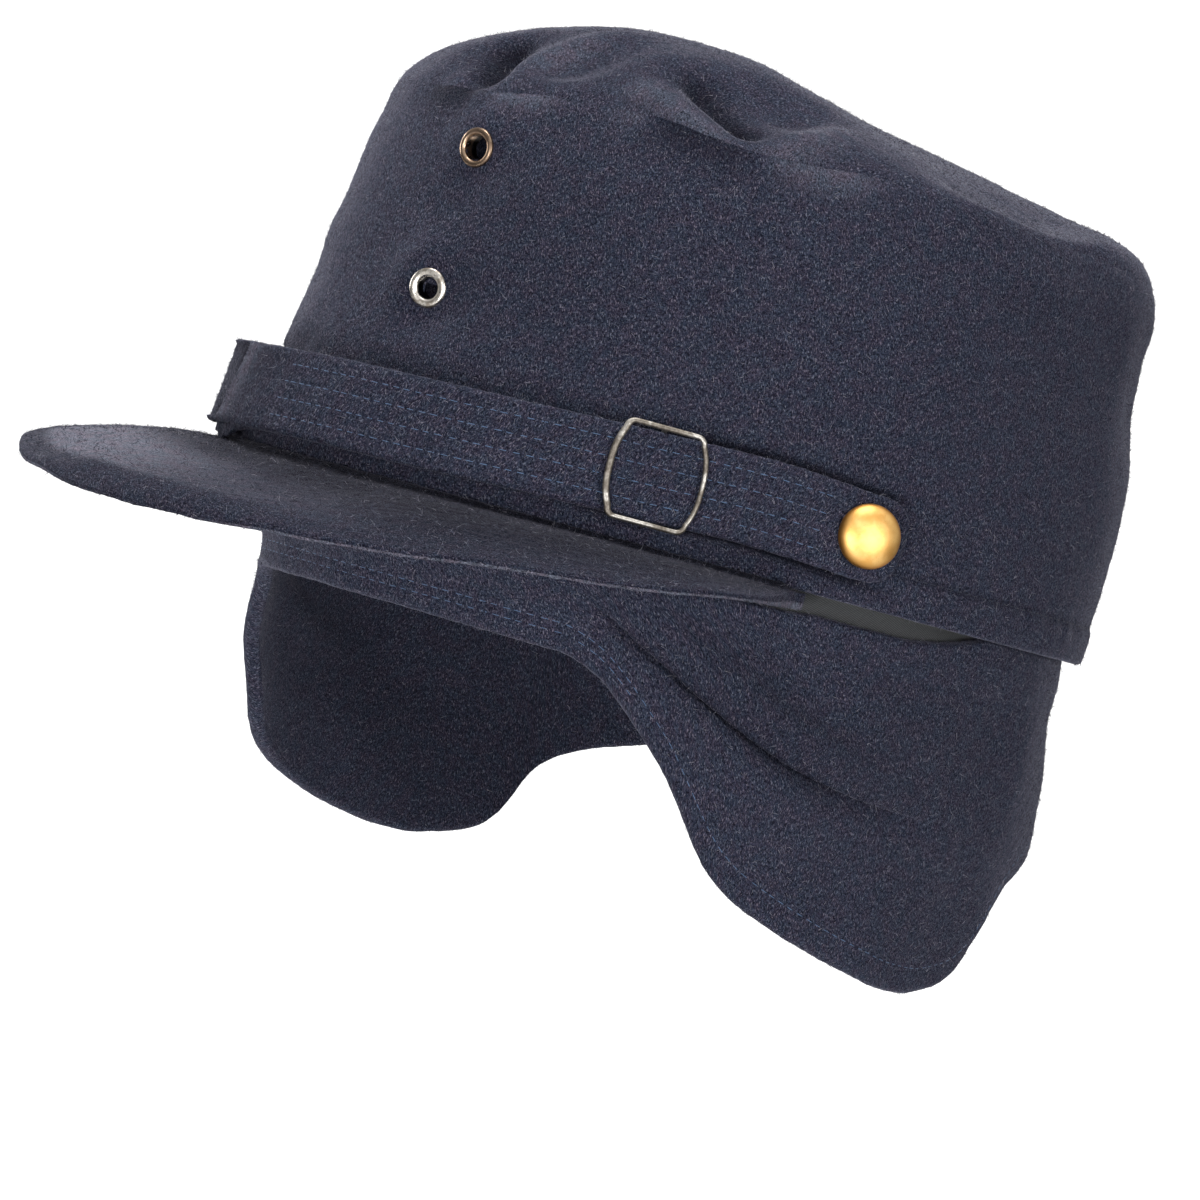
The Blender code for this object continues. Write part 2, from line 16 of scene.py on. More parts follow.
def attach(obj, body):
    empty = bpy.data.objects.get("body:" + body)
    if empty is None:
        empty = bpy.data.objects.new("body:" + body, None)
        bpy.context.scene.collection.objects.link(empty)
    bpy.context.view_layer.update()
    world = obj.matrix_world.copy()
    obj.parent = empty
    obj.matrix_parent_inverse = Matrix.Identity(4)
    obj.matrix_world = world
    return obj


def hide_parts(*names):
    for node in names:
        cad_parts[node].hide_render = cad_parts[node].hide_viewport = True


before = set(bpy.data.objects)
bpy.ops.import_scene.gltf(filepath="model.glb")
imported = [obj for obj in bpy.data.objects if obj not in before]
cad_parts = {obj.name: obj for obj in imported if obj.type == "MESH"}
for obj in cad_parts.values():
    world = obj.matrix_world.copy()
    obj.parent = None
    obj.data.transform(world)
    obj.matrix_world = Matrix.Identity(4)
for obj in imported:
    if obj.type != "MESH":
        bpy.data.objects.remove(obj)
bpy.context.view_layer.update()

# Sizes of the solids, repeated here because the frame holds only their meshes
GAP = 0.0003
HEM_HALF_LENGTH = 0.112
HEM_HALF_WIDTH = 0.0915
SIDE_HEIGHT = 0.086
CROWN_WALL = 0.0025
HEM_TURN = 0.0092
HEM_STEP = 0.0008
HEM_SWELL = 0.0006
SHOULDER_HEIGHT = 0.002
DOME_RISE = 0.0250
DENT_DEPTH = 0.006
PEAK_LENGTH = 0.056
PEAK_DROP = 0.0135
PEAK_WALL = 0.0037
PEAK_HALF_SPAN = 66.0
PEAK_SPLAY = 0.8
LOBE_DEPTH = 0.082
CURTAIN_WALL = 0.004
FOLD_DEPTH = 0.0035
FOLD_WIDTH = 0.0055
LINING_WALL = 0.0012
LINING_TOP = 0.013
LINING_BOTTOM = 0.009
LINING_BEND = 0.006
LINING_CLEARANCE = 0.0007
STRAP_WIDTH = 0.019
STRAP_WALL = 0.0022
STRAP_MIDDLE = 0.0150
STRAP_STANDOFF = 0.0075
STRAP_END = 75.8
STRAP_TIP = 0.008
STRAP_LEAN = 0.35
STRAP_FLOOR = 0.0088
BUCKLE_ANGLE = 42.6
BUCKLE_WIRE = 0.0012
BUCKLE_HALF_WIDTH = 0.0086
BUCKLE_CORNER = 0.0018
BUCKLE_CLEARANCE = 0.0004
BAR_WIRE = 0.0012
BAR_CLEARANCE = 0.0014
BUTTON_ANGLE = 70.0
BUTTON_DIAMETER = 0.0142
BUTTON_DOME = 0.0034
BUTTON_RIM = 0.0009
BUTTON_STUD = 0.0010
EYELET_DROPS = {"eyelet_upper": 0.0105, "eyelet_lower": 0.0430}
EYELET_DIAMETER = 0.0083
EYELET_HOLE = 0.0046
EYELET_TUBE = 0.0004
# How far each eyelet leans from the cloth's even slope and turns to the wearer's left, in degrees, and
# the width of its hole
EYELETS = {"eyelet_upper": (20.0, 8.0, 0.0055), "eyelet_lower": (15.0, 20.0, EYELET_HOLE)}

# Where the camera stands: degrees to the wearer's left of the front, metres away, roll in degrees and the
# lens in mm. It points at CAMERA_AIM, metres to the right and up.
CAMERA_TURN = 42.0
CAMERA_DISTANCE = 1.300
CAMERA_ROLL = 15.0
CAMERA_LENS = 168.5
CAMERA_AIM = (-0.0114, -0.014)
SENSOR = 36.0

FLOOR_Z = -0.30
FLOOR_RADIUS = 0.66
# Brightness of the white surroundings at the sides, what is added in front and behind and what above, the
# share that matte cloth gets, and what the camera sees
WORLD_BASE = 0.11
WORLD_DEPTH = 0.62
WORLD_TOP = 1.00
WORLD_SOFT = 0.15
WORLD_SEEN = 1.3
# Each light: its place towards the camera, to the right and up, the height of the spot that it points at,
# its size, its power and its share of blue
LIGHTS = (
    ("key", (0.10, -0.20, 1.20), 0.03, (0.7, 0.6), 17.5, 0.97),
    ("side", (1.30, 0.90, 0.10), 0.0, (0.6, 0.6), 14.0, 0.98),
    ("low", (1.15, -0.35, -0.24), -0.04, (0.5, 0.4), 8.3, 0.98),
    ("back", (-1.50, 0.0, 0.45), 0.0, (0.9, 0.9), 19.0, 0.98),
    ("far", (-0.70, -1.40, 0.15), 0.0, (0.8, 0.8), 11.0, 0.98),
)


def table(columns, *rows):
    """A short table as one array for each named column."""
    return dict(zip(columns.split(), np.array(rows, float).T))


SIDE_ROWS = table(
    "height front back side",
    (0.00, 1.000, 1.000, 1.000),
    (0.03, 1.000, 1.001, 1.000),
    (0.10, 0.972, 1.008, 0.999),
    (0.31, 0.893, 1.015, 0.992),
    (0.50, 0.862, 0.992, 0.990),
    (0.69, 0.850, 0.964, 0.982),
    (0.84, 0.838, 0.950, 0.970),
    (1.00, 0.800, 0.940, 0.930),
)
DOME_ROWS = table(
    "reach front side back",
    (0.00, 0.870, 0.870, 0.870),
    (0.18, 0.935, 0.845, 0.760),
    (0.36, 0.985, 0.775, 0.600),
    (0.52, 0.965, 0.680, 0.450),
    (0.67, 0.870, 0.550, 0.320),
    (0.80, 0.690, 0.400, 0.215),
    (0.90, 0.460, 0.265, 0.165),
    (0.965, 0.210, 0.120, 0.085),
    (1.00, 0.000, 0.000, 0.000),
)
DENTS = table(
    "angle reach depth along round",
    (4.0, 0.86, 0.95, 0.10, 0.15),
    (24.0, 0.80, -0.35, 0.12, 0.16),
    (41.0, 0.80, 1.00, 0.11, 0.17),
    (95.0, 0.84, 0.45, 0.12, 0.26),
    (150.0, 0.62, -0.25, 0.25, 0.35),
    (215.0, 0.80, 0.55, 0.14, 0.24),
    (285.0, 0.82, 0.60, 0.12, 0.25),
    (330.0, 0.78, -0.30, 0.14, 0.20),
)
PEAK_ROWS = table(
    "share overhang drop",
    (0.00, 1.000, 1.000),
    (0.15, 0.989, 0.980),
    (0.30, 0.954, 0.910),
    (0.45, 0.893, 0.750),
    (0.60, 0.800, 0.580),
    (0.75, 0.661, 0.375),
    (0.87, 0.455, 0.190),
    (0.93, 0.220, 0.075),
    (0.97, 0.050, 0.015),
    (1.00, 0.004, 0.000),
)
# Depth of the peak's edge from the flat top to the underside, in metres, and the share of the overhang
# that rounds over into it
PEAK_FACE = table(
    "share depth round",
    (0.00, 0.0053, 0.00),
    (0.12, 0.0052, 0.00),
    (0.25, 0.0041, 0.35),
    (0.42, 0.0036, 0.90),
    (0.62, 0.0027, 1.00),
    (0.80, 0.0023, 1.00),
    (0.90, 0.0026, 1.00),
    (1.00, 0.0036, 1.00),
)
CURTAIN_EDGE = table(
    "angle depth",
    (0.0, 0.315),
    (34.0, 0.318),
    (37.0, 0.332),
    (40.2, 0.360),
    (43.7, 0.412),
    (47.2, 0.473),
    (51.9, 0.560),
    (55.3, 0.640),
    (60.3, 0.750),
    (63.2, 0.798),
    (67.1, 0.842),
    (74.7, 0.894),
    (85.1, 0.947),
    (91.0, 0.970),
    (96.4, 0.990),
    (102.4, 0.996),
    (108.6, 0.976),
    (113.6, 0.938),
    (116.2, 0.886),
    (117.7, 0.822),
    (119.3, 0.746),
    (123.5, 0.665),
    (131.0, 0.600),
    (141.0, 0.545),
    (180.0, 0.525),
)
CURTAIN_TOP = table(
    "angle drop",
    (0.0, 0.0047),
    (42.0, 0.0046),
    (52.0, 0.0041),
    (66.0, 0.0041),
    (70.0, 0.0033),
    (84.0, 0.0034),
    (90.0, 0.0022),
    (96.0, 0.0004),
    (101.0, -0.0016),
    (180.0, -0.0016),
)
CURTAIN_ROWS = table(
    "drop front back side",
    (0.00, 0.950, 0.960, 0.944),
    (0.09, 0.950, 0.960, 0.943),
    (0.16, 0.900, 0.966, 0.941),
    (0.25, 0.852, 0.986, 0.944),
    (0.37, 0.838, 1.005, 0.952),
    (0.52, 0.832, 1.018, 0.955),
    (0.74, 0.815, 1.000, 0.935),
    (1.00, 0.800, 0.965, 0.925),
)
FOLD_LINE = table(
    "angle drop strength",
    (38.0, 0.170, 0.00),
    (46.0, 0.220, 0.70),
    (56.0, 0.310, 1.00),
    (67.0, 0.405, 1.00),
    (77.0, 0.460, 0.80),
    (87.0, 0.500, 0.40),
    (97.0, 0.520, 0.00),
)
FAR_LOBE_FOLD = 0.35
STRAP_ROWS = table(
    "angle standoff rise",
    (-90.0, 0.00, -0.04),
    (-70.0, 0.00, -0.04),
    (-58.0, 0.28, -0.09),
    (-43.0, 0.48, -0.13),
    (-20.0, 0.85, -0.11),
    (0.0, 1.00, -0.07),
    (18.0, 0.97, -0.04),
    (32.0, 0.80, 0.00),
    (44.0, 0.55, 0.03),
    (56.0, 0.24, 0.06),
    (65.0, 0.05, 0.03),
    (70.0, 0.00, 0.00),
    (90.0, 0.00, -0.03),
)

# Height of the seam between the side and the top of the crown, in metres, with its dips at the dents.
# Angles below 0 are on the wearer's right.
SEAM_ROWS = table(
    "angle z",
    (-180.0, 0.0880),
    (-120.0, 0.0885),
    (-90.0, 0.0895),
    (-48.0, 0.0890),
    (-10.0, 0.0880),
    (0.0, 0.0885),
    (7.0, 0.0905),
    (27.0, 0.0910),
    (36.0, 0.0892),
    (42.0, 0.0886),
    (48.0, 0.0892),
    (60.0, 0.0910),
    (83.0, 0.0905),
    (96.0, 0.0895),
    (107.0, 0.0892),
    (117.0, 0.0880),
    (180.0, 0.0880),
)

# Where the cloth stands off the even shape from wear, in metres outwards, on the two sides
LEAN_ROWS = table(
    "z right back",
    (-0.001, 0.0000, -0.0010),
    (0.008, 0.0000, -0.0007),
    (0.020, 0.0006, 0.0000),
    (0.030, 0.0017, -0.0002),
    (0.044, 0.0009, 0.0005),
    (0.052, 0.0006, -0.0003),
    (0.060, -0.0007, -0.0009),
    (0.071, -0.0015, -0.0009),
    (0.081, -0.0007, 0.0013),
    (0.090, 0.0004, 0.0017),
    (0.130, 0.0004, 0.0017),
)
# Rise of the top above its even dome, in metres, across the cap from the wearer's right of the front
# to the left of the back
SWAY_ROWS = table(
    "across rise",
    (-0.100, 0.0000),
    (-0.082, -0.0004),
    (-0.068, -0.0012),
    (-0.056, 0.0000),
    (-0.044, 0.0012),
    (-0.021, 0.0006),
    (0.000, 0.0000),
    (0.016, -0.0010),
    (0.030, -0.0021),
    (0.054, -0.0021),
    (0.067, -0.0004),
    (0.080, 0.0013),
    (0.092, 0.0011),
    (0.105, 0.0005),
)
# Hollows and ridges of the handled top: the two ends, how far each spreads along and across, and its height
CREASES = (
    ((-0.0075, -0.087, 0.0900), (-0.016, -0.072, 0.1010), 0.0095, 0.0052, -0.0072),
    ((-0.019, -0.084, 0.0945), (-0.022, -0.076, 0.0990), 0.0080, 0.0060, -0.0010),
    ((-0.0060, -0.0885, 0.0885), (0.0015, -0.0670, 0.1050), 0.0130, 0.0042, 0.0024),
    ((-0.019, -0.0875, 0.0870), (-0.006, -0.0885, 0.0885), 0.0080, 0.0048, 0.0009),
    ((0.033, -0.066, 0.1000), (0.051, -0.064, 0.0915), 0.0110, 0.0056, -0.0058),
    ((0.029, -0.078, 0.0960), (0.049, -0.0722, 0.0894), 0.0110, 0.0044, 0.0018),
    ((0.049, -0.0722, 0.0894), (0.062, -0.0600, 0.0900), 0.0090, 0.0042, 0.0013),
    ((0.060, -0.056, 0.0925), (0.056, -0.042, 0.0985), 0.0120, 0.0050, 0.0018),
    ((0.070, -0.020, 0.0950), (0.076, 0.010, 0.0940), 0.0150, 0.0060, -0.0013),
)


def smooth(rows, key, name, at):
    """The named column of a table at values of its key column, on a smooth curve through the rows."""
    keys, values = rows[key], rows[name]
    at = np.clip(np.asarray(at, float), keys[0], keys[-1])
    i = np.clip(np.searchsorted(keys, at, side="right") - 1, 0, len(keys) - 2)
    slopes = np.diff(values) / np.diff(keys)
    tangents = np.zeros(len(keys))
    tangents[0], tangents[-1] = slopes[0], slopes[-1]
    before, after = slopes[:-1], slopes[1:]
    same = before * after > 0
    tangents[1:-1][same] = 2 * before[same] * after[same] / (before[same] + after[same])
    span = keys[i + 1] - keys[i]
    s = (at - keys[i]) / span
    start, end = tangents[i] * span, tangents[i + 1] * span
    return (
        values[i] * (2 * s**3 - 3 * s**2 + 1)
        + values[i + 1] * (3 * s**2 - 2 * s**3)
        + start * (s**3 - 2 * s**2 + s)
        + end * (s**3 - s**2)
    )


def signed(angle):
    """The angle on either side of the front, -180 to 180."""
    return (np.asarray(angle, float) + 180) % 360 - 180


def mirrored(angle):
    return np.abs(signed(angle))


def stack(x, y, z):
    return np.stack(np.broadcast_arrays(x, y, z), axis=-1).astype(float)


def oval(angle, front, back, side):
    """x and y on the cap's oval at an angle, from its reach to the front, to the back and to the side."""
    turn = np.radians(angle)
    reach = np.where(np.cos(turn) > 0, front, back)
    return side * np.sin(turn), -reach * np.cos(turn)


def reaches(rows, key, at, inset=0.0):
    """How far a table's oval reaches to the front, to the back and to the side, less an inset."""
    sizes = (("front", HEM_HALF_LENGTH), ("back", HEM_HALF_LENGTH), ("side", HEM_HALF_WIDTH))
    return [smooth(rows, key, name, at) * size - inset for name, size in sizes]


def bell(value, centre, width):
    return np.exp(-(((value - centre) / width) ** 2))


def ease(value, low, high):
    """0 below low, 1 above high, and smooth between."""
    s = np.clip((value - low) / (high - low), 0, 1)
    return s * s * (3 - 2 * s)


def ripple(points, wavelength, seed, waves=26):
    """A smooth random field of about -1 to 1 over points, the same on every run."""
    rng = np.random.default_rng(seed)
    total = np.zeros(points.shape[:-1])
    for _ in range(waves):
        direction = rng.normal(size=3)
        direction *= rng.uniform(0.7, 1.35) / np.linalg.norm(direction)
        phase = rng.uniform(0, 2 * math.pi)
        total += np.sin(points @ direction * (2 * math.pi / wavelength) + phase)
    return total / math.sqrt(waves)


def ripples(points, parts):
    """Ripples added up, one for each row of wavelength, height and seed."""
    return sum(ripple(points, wavelength, seed) * height for wavelength, height, seed in parts)


def nap(points, seed):
    """Height of the finest unevenness of fulled cloth."""
    return ripple(points, 0.0034, seed) * 0.00005 + ripple(points, 0.0019, seed + 1, 40) * 0.000045


def unit(vectors):
    return vectors / np.maximum(np.linalg.norm(vectors, axis=-1, keepdims=True), 1e-12)


def raised(points, normals, height):
    return points + normals * height[..., None]


def pushed_out(points, angles, out):
    """Moves each point level and outwards."""
    turn = np.radians(angles)
    return points + stack(np.sin(turn) * out, -np.cos(turn) * out, 0.0)


def steps(points, axis, joined):
    """Steps over the two neighbours of each point of a grid, past its joint where it is joined."""
    if joined:
        return np.roll(points, -1, axis=axis) - np.roll(points, 1, axis=axis)
    return np.gradient(points, axis=axis)


def grid_normals(points, closed, loop_rows=False):
    """Unit normals of a grid of rows and columns, to the outside where rows run up and columns run
    anticlockwise seen from above."""
    return unit(np.cross(steps(points, 1, closed), steps(points, 0, loop_rows)))


def napped(rows, closed, seed):
    """Adds the nap to a section that closes on itself."""
    return raised(rows, grid_normals(rows, closed, True), nap(rows, seed))


def normal_on(point, angle, at, step):
    """Outward normal of a surface: at is its height, drop or share across, and step goes upwards."""
    along = point(angle + 1, at) - point(angle - 1, at)
    return unit(np.cross(along, point(angle, at + step) - point(angle, at - step)))


# Surfaces


def side_point(angle, z):
    swell = HEM_SWELL * (1 - ease(z, HEM_TURN - HEM_STEP, HEM_TURN + HEM_STEP))
    return stack(*oval(angle, *reaches(SIDE_ROWS, "height", z / SIDE_HEIGHT, -swell)), z)


def side_normal(angle, z):
    return normal_on(side_point, angle, z, 0.002)


def dent(angle, reach):
    total = 0.0
    for i, centre in enumerate(DENTS["angle"]):
        across = np.radians(mirrored(angle - centre)) * reach / DENTS["round"][i]
        along = (reach - DENTS["reach"][i]) / DENTS["along"][i]
        total = total + DENTS["depth"][i] * np.exp(-(across**2) - along**2)
    return total


def top_point(angle, reach):
    front, back, side = reaches(SIDE_ROWS, "height", 1.0)
    x, y = oval(angle, front, back, side)
    turn = np.radians(angle)
    lengthways = np.where(
        np.cos(turn) > 0,
        smooth(DOME_ROWS, "reach", "front", reach),
        smooth(DOME_ROWS, "reach", "back", reach),
    )
    sideways = smooth(DOME_ROWS, "reach", "side", reach)
    share = lengthways * np.cos(turn) ** 2 + sideways * np.sin(turn) ** 2
    rise = DOME_RISE * share - DENT_DEPTH * dent(angle, reach) * np.minimum(1.0, (1 - reach) / 0.08)
    base = SIDE_HEIGHT + GAP + SHOULDER_HEIGHT
    return stack(x * reach, y * reach, base + rise)


def curtain_edge(angle):
    return LOBE_DEPTH * smooth(CURTAIN_EDGE, "angle", "depth", mirrored(angle))


def fold_line(angle):
    """Drop of the crease below the hem, and its strength."""
    turn = mirrored(angle)
    strength = smooth(FOLD_LINE, "angle", "strength", turn)
    strength = np.where(signed(angle) < 0, strength * FAR_LOBE_FOLD, strength)
    return smooth(FOLD_LINE, "angle", "drop", turn) * LOBE_DEPTH, strength


def fold(angle, drop):
    line, strength = fold_line(angle)
    above = (line - drop) / FOLD_WIDTH
    valley = np.exp(-((above + 0.35) ** 2) * 2.2)
    ridge = np.exp(-((above - 0.95) ** 2) * 1.1)
    return FOLD_DEPTH * strength * (0.55 * ridge - 0.65 * valley)


def curtain_point(angle, drop):
    x, y = oval(angle, *reaches(CURTAIN_ROWS, "drop", drop / LOBE_DEPTH))
    out = fold(angle, drop) / np.hypot(x, y)
    return stack(x + x * out, y + y * out, -drop)


def lining_point(angle, z):
    """Inside the crown's side above the bend, inside the curtain below the hem, and between them a blend."""
    upper_z, drop = np.maximum(z, LINING_BEND), np.maximum(-z, 0.0)
    above = side_point(angle, upper_z) - side_normal(angle, upper_z) * (CROWN_WALL + LINING_CLEARANCE)
    outward = normal_on(curtain_point, angle, drop, -0.001)
    below = curtain_point(angle, drop) - outward * (CURTAIN_WALL + LINING_CLEARANCE)
    share = np.clip(z / LINING_BEND, 0, 1)[..., None]
    point = below * (1 - share) + above * share
    point[..., 2] = z
    return point


def strap_point(angle, across, behind=0.0):
    rise = smooth(STRAP_ROWS, "angle", "rise", angle) * STRAP_WIDTH
    standoff = smooth(STRAP_ROWS, "angle", "standoff", angle)
    z = STRAP_MIDDLE + rise + across * STRAP_WIDTH
    lean = 1 - (1 - STRAP_LEAN) * np.minimum(1.0, 2 * standoff)
    wall_z = np.maximum(STRAP_MIDDLE + (z - STRAP_MIDDLE) * lean, STRAP_FLOOR)
    layers = 1 + ease(BUCKLE_ANGLE - angle, 0.0, BUCKLE_ANGLE)
    out = STRAP_STANDOFF * standoff + (HEM_SWELL + layers * (STRAP_WALL + GAP)) - behind
    return stack(*oval(angle, *reaches(SIDE_ROWS, "height", wall_z / SIDE_HEIGHT, -out)), z)


# Meshes


def faces_mesh(name, points, faces):
    """A mesh from an array of points and one of faces, which all have as many corners."""
    points = points.reshape(-1, 3)
    count, corners = faces.shape
    mesh = bpy.data.meshes.new(name)
    mesh.vertices.add(len(points))
    mesh.vertices.foreach_set("co", points.reshape(-1).astype(np.float32))
    mesh.loops.add(count * corners)
    mesh.loops.foreach_set("vertex_index", faces.reshape(-1).astype(np.int32))
    mesh.polygons.add(count)
    mesh.polygons.foreach_set("loop_start", np.arange(0, count * corners, corners, dtype=np.int32))
    mesh.polygons.foreach_set("loop_total", np.full(count, corners, dtype=np.int32))
    mesh.update()
    return mesh


def in_scene(name, data):
    made = bpy.data.objects.new(name, data)
    bpy.context.scene.collection.objects.link(made)
    return made


def grid_mesh(name, points, uv, closed, material, loop_rows=False):
    """A piece from a grid of points in rows and columns, with a UV map in metres. closed joins the last
    column to the first, and loop_rows the last row to the first."""
    rows, columns = points.shape[:2]
    r = np.arange(rows if loop_rows else rows - 1)[:, None]
    c = np.arange(columns if closed else columns - 1)[None, :]
    r2, c2 = (r + 1) % rows, (c + 1) % columns
    quads = [r * columns + c, r * columns + c2, r2 * columns + c2, r2 * columns + c]
    mesh = faces_mesh(name, points, np.stack(quads, axis=-1).reshape(-1, 4))
    if closed:
        uv = np.concatenate([uv, uv[:, :1] + (uv[:, -1:] - uv[:, -2:-1])], axis=1)
    if loop_rows:
        uv = np.concatenate([uv, uv[-1:] + (uv[-1:] - uv[-2:-1])], axis=0)
    corners = np.stack([uv[r, c], uv[r, c + 1], uv[r + 1, c + 1], uv[r + 1, c]], axis=2)
    mesh.uv_layers.new(name="cloth").data.foreach_set("uv", corners.reshape(-1).astype(np.float32))
    mesh.shade_smooth()
    mesh.materials.append(material)
    return in_scene(name, mesh)


@contextmanager
def editing(made):
    """A piece's mesh as a bmesh, which goes back into the piece afterwards."""
    bm = bmesh.new()
    bm.from_mesh(made.data)
    bm.verts.ensure_lookup_table()
    yield bm
    bm.to_mesh(made.data)
    bm.free()
    made.data.shade_smooth()


def mark(mesh, **marks):
    """Marks each point from 0 to 1 under each given name: a painted highlight where the nap is painted lighter,
    painted shade where it is painted darker inside a crease or against an edge, and tone for how pale a fibre is."""
    for name, amount in marks.items():
        layer = mesh.attributes.new(name, "FLOAT", "POINT")
        layer.data.foreach_set("value", np.clip(amount, 0, 1).reshape(-1).astype(np.float32))


def dress(made, node):
    """Hands a piece its body and hides the CAD node that it stands for."""
    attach(made, "root")
    if node:
        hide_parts(node)
    return made


def inner_rows(count, every):
    """Rows of a cloth's inner face, from the last back to the first, at every so many of the outer's."""
    pick = list(range(count - 1, -1, -every))
    return pick if pick[-1] == 0 else pick + [0]


def shell_rows(outer, normals, thickness, inner_every, start=1.0, end=1.0, arc=5):
    """Rows right round a cloth's section: the outer face, a rounded end, the inner face and the other
    rounded end. start and end say how far each end bulges, as a share of half the thickness. The rows
    close on themselves."""
    inner = outer - normals * thickness

    def cap(row, inward, bulge):
        """Round between the faces at an end row, away from the row inward of it."""
        beyond = outer[row] - outer[inward]
        beyond = unit(beyond - normals[row] * (beyond * normals[row]).sum(-1, keepdims=True))
        power = 0.5 + 0.5 * bulge
        made = []
        for a in np.linspace(0, math.pi, arc + 2)[1:-1]:
            across = math.copysign(abs(math.cos(a)) ** power, math.cos(a))
            round_out = normals[row] * across + beyond * (math.sin(a) ** power * bulge)
            made.append((outer[row] + inner[row]) / 2 + thickness / 2 * round_out)
        return made

    back = list(inner[inner_rows(len(outer), inner_every)])
    return np.array(list(outer) + cap(-1, -3, end) + back + cap(0, 2, start)[::-1])


def arc_length(points, axis):
    lengths = np.linalg.norm(np.diff(points, axis=axis), axis=-1)
    zero = np.zeros_like(np.take(lengths, [0], axis=axis))
    return np.concatenate([zero, np.cumsum(lengths, axis=axis)], axis=axis)


def section_uv(points, around):
    """UV in metres: u is a distance round or along for each column, v the way along the section."""
    v = arc_length(points, 0)
    return np.stack([np.broadcast_to(around, v.shape), v], axis=-1)


def resample(points, share):
    """The columns of a grid at shares of their length, on fresh rows. share is rows by columns, 0 to 1."""
    length = arc_length(points, 0)
    made = np.empty(share.shape + (3,))
    for j in range(points.shape[1]):
        at = share[:, j] * length[-1, j]
        for k in range(3):
            made[:, j, k] = np.interp(at, length[:, j], points[:, j, k])
    return made


# Materials


class Nodes:
    """Short calls that add nodes to a tree. An input is a number, a colour, a vector or a node's output."""

    def __init__(self, owner):
        owner.use_nodes = True
        self.tree = owner.node_tree

    def feed(self, socket, value):
        if isinstance(value, bpy.types.NodeSocket):
            self.tree.links.new(value, socket)
        else:
            socket.default_value = (*value, 1) if socket.type == "RGBA" else value

    def add(self, kind, output, inputs=(), **settings):
        node = self.tree.nodes.new(kind)
        for key, value in settings.items():
            setattr(node, key, value)
        for key, value in dict(inputs).items():
            self.feed(node.inputs[key], value)
        return node.outputs[output]

    def math(self, operation, *values, clamp=False):
        return self.add("ShaderNodeMath", "Value", enumerate(values), operation=operation, use_clamp=clamp)


class Finish(Nodes):
    """The nodes of a new material."""

    def __init__(self, name):
        self.material = bpy.data.materials.new(name)
        super().__init__(self.material)

    def done(self, **inputs):
        """Feeds the shader, with _ for the spaces in its sockets' names."""
        shader = self.tree.nodes["Principled BSDF"]
        for key, value in inputs.items():
            self.feed(shader.inputs[key.replace("_", " ")], value)
        return self.material

    def uv(self):
        return self.add("ShaderNodeUVMap", "UV", uv_map="cloth")

    def along(self):
        """The way along a turned piece's section."""
        return self.add("ShaderNodeSeparateXYZ", "Y", {"Vector": self.uv()})

    def place(self):
        return self.add("ShaderNodeTexCoord", "Object")

    def clouds(self, slow, fine=4200, detail=2.0):
        """Slow patches and fine grain of a metal's surface."""
        place = self.place()
        return self.noise(place, slow, 3.0, 0.55), self.noise(place, fine, detail, 0.6)

    def marked(self, name):
        return self.add("ShaderNodeAttribute", "Fac", attribute_name=name)

    def mapped(self, vector, scale=(1, 1, 1), turn=0.0, shift=(0, 0, 0)):
        """Turns a vector about Z and then scales it, so that scale runs along the turned axes."""
        inputs = {"Vector": vector, "Angle": math.radians(turn)}
        turned = self.add("ShaderNodeVectorRotate", "Vector", inputs, rotation_type="Z_AXIS")
        inputs = {"Vector": turned, "Scale": scale, "Location": shift}
        return self.add("ShaderNodeMapping", "Vector", inputs, vector_type="POINT")

    def noise(self, vector, scale=1.0, detail=2.0, roughness=0.5, distortion=0.0):
        inputs = {"Scale": scale, "Detail": detail, "Roughness": roughness, "Distortion": distortion}
        return self.add("ShaderNodeTexNoise", "Fac", {"Vector": vector, **inputs})

    def span(self, value, low, high, to_low=0.0, to_high=1.0):
        """Maps a value's range from low to high smoothly onto another."""
        inputs = {"Value": value, "From Min": low, "From Max": high, "To Min": to_low, "To Max": to_high}
        return self.add("ShaderNodeMapRange", "Result", inputs, interpolation_type="SMOOTHSTEP")

    def mix(self, factor, a, b, blend="MIX"):
        inputs = {"Factor": factor, "A": a, "B": b}
        return self.add("ShaderNodeMix", "Result", inputs, data_type="RGBA", blend_type=blend)

    def bump(self, height, distance, strength=1.0, normal=None):
        inputs = {"Height": height, "Distance": distance, "Strength": strength}
        if normal is not None:
            inputs["Normal"] = normal
        return self.add("ShaderNodeBump", "Normal", inputs)


# Fibres of the cloth, a row for each way that they lie: its turn, the noise's range that shows, its
# share, and its colour
FIBRES = (
    (8, (0.50, 0.66), 0.70, (0.070, 0.079, 0.120)),
    (47, (0.47, 0.31), 0.90, (0.004, 0.005, 0.010)),
    (-36, (0.52, 0.68), 0.75, (0.104, 0.107, 0.148)),
    (-68, (0.46, 0.31), 0.90, (0.003, 0.004, 0.008)),
    (86, (0.54, 0.70), 0.70, (0.100, 0.117, 0.166)),
    (20, (0.45, 0.32), 0.85, (0.005, 0.005, 0.011)),
    (-15, (0.59, 0.70), 0.85, (0.260, 0.254, 0.305)),
)

# Width and length of the fibres in the cloth's colour, and how light it is against that table
FIBRE_WIDTH = 0.00027
FIBRE_LENGTH = 0.00078
CLOTH_LIGHT = 0.66


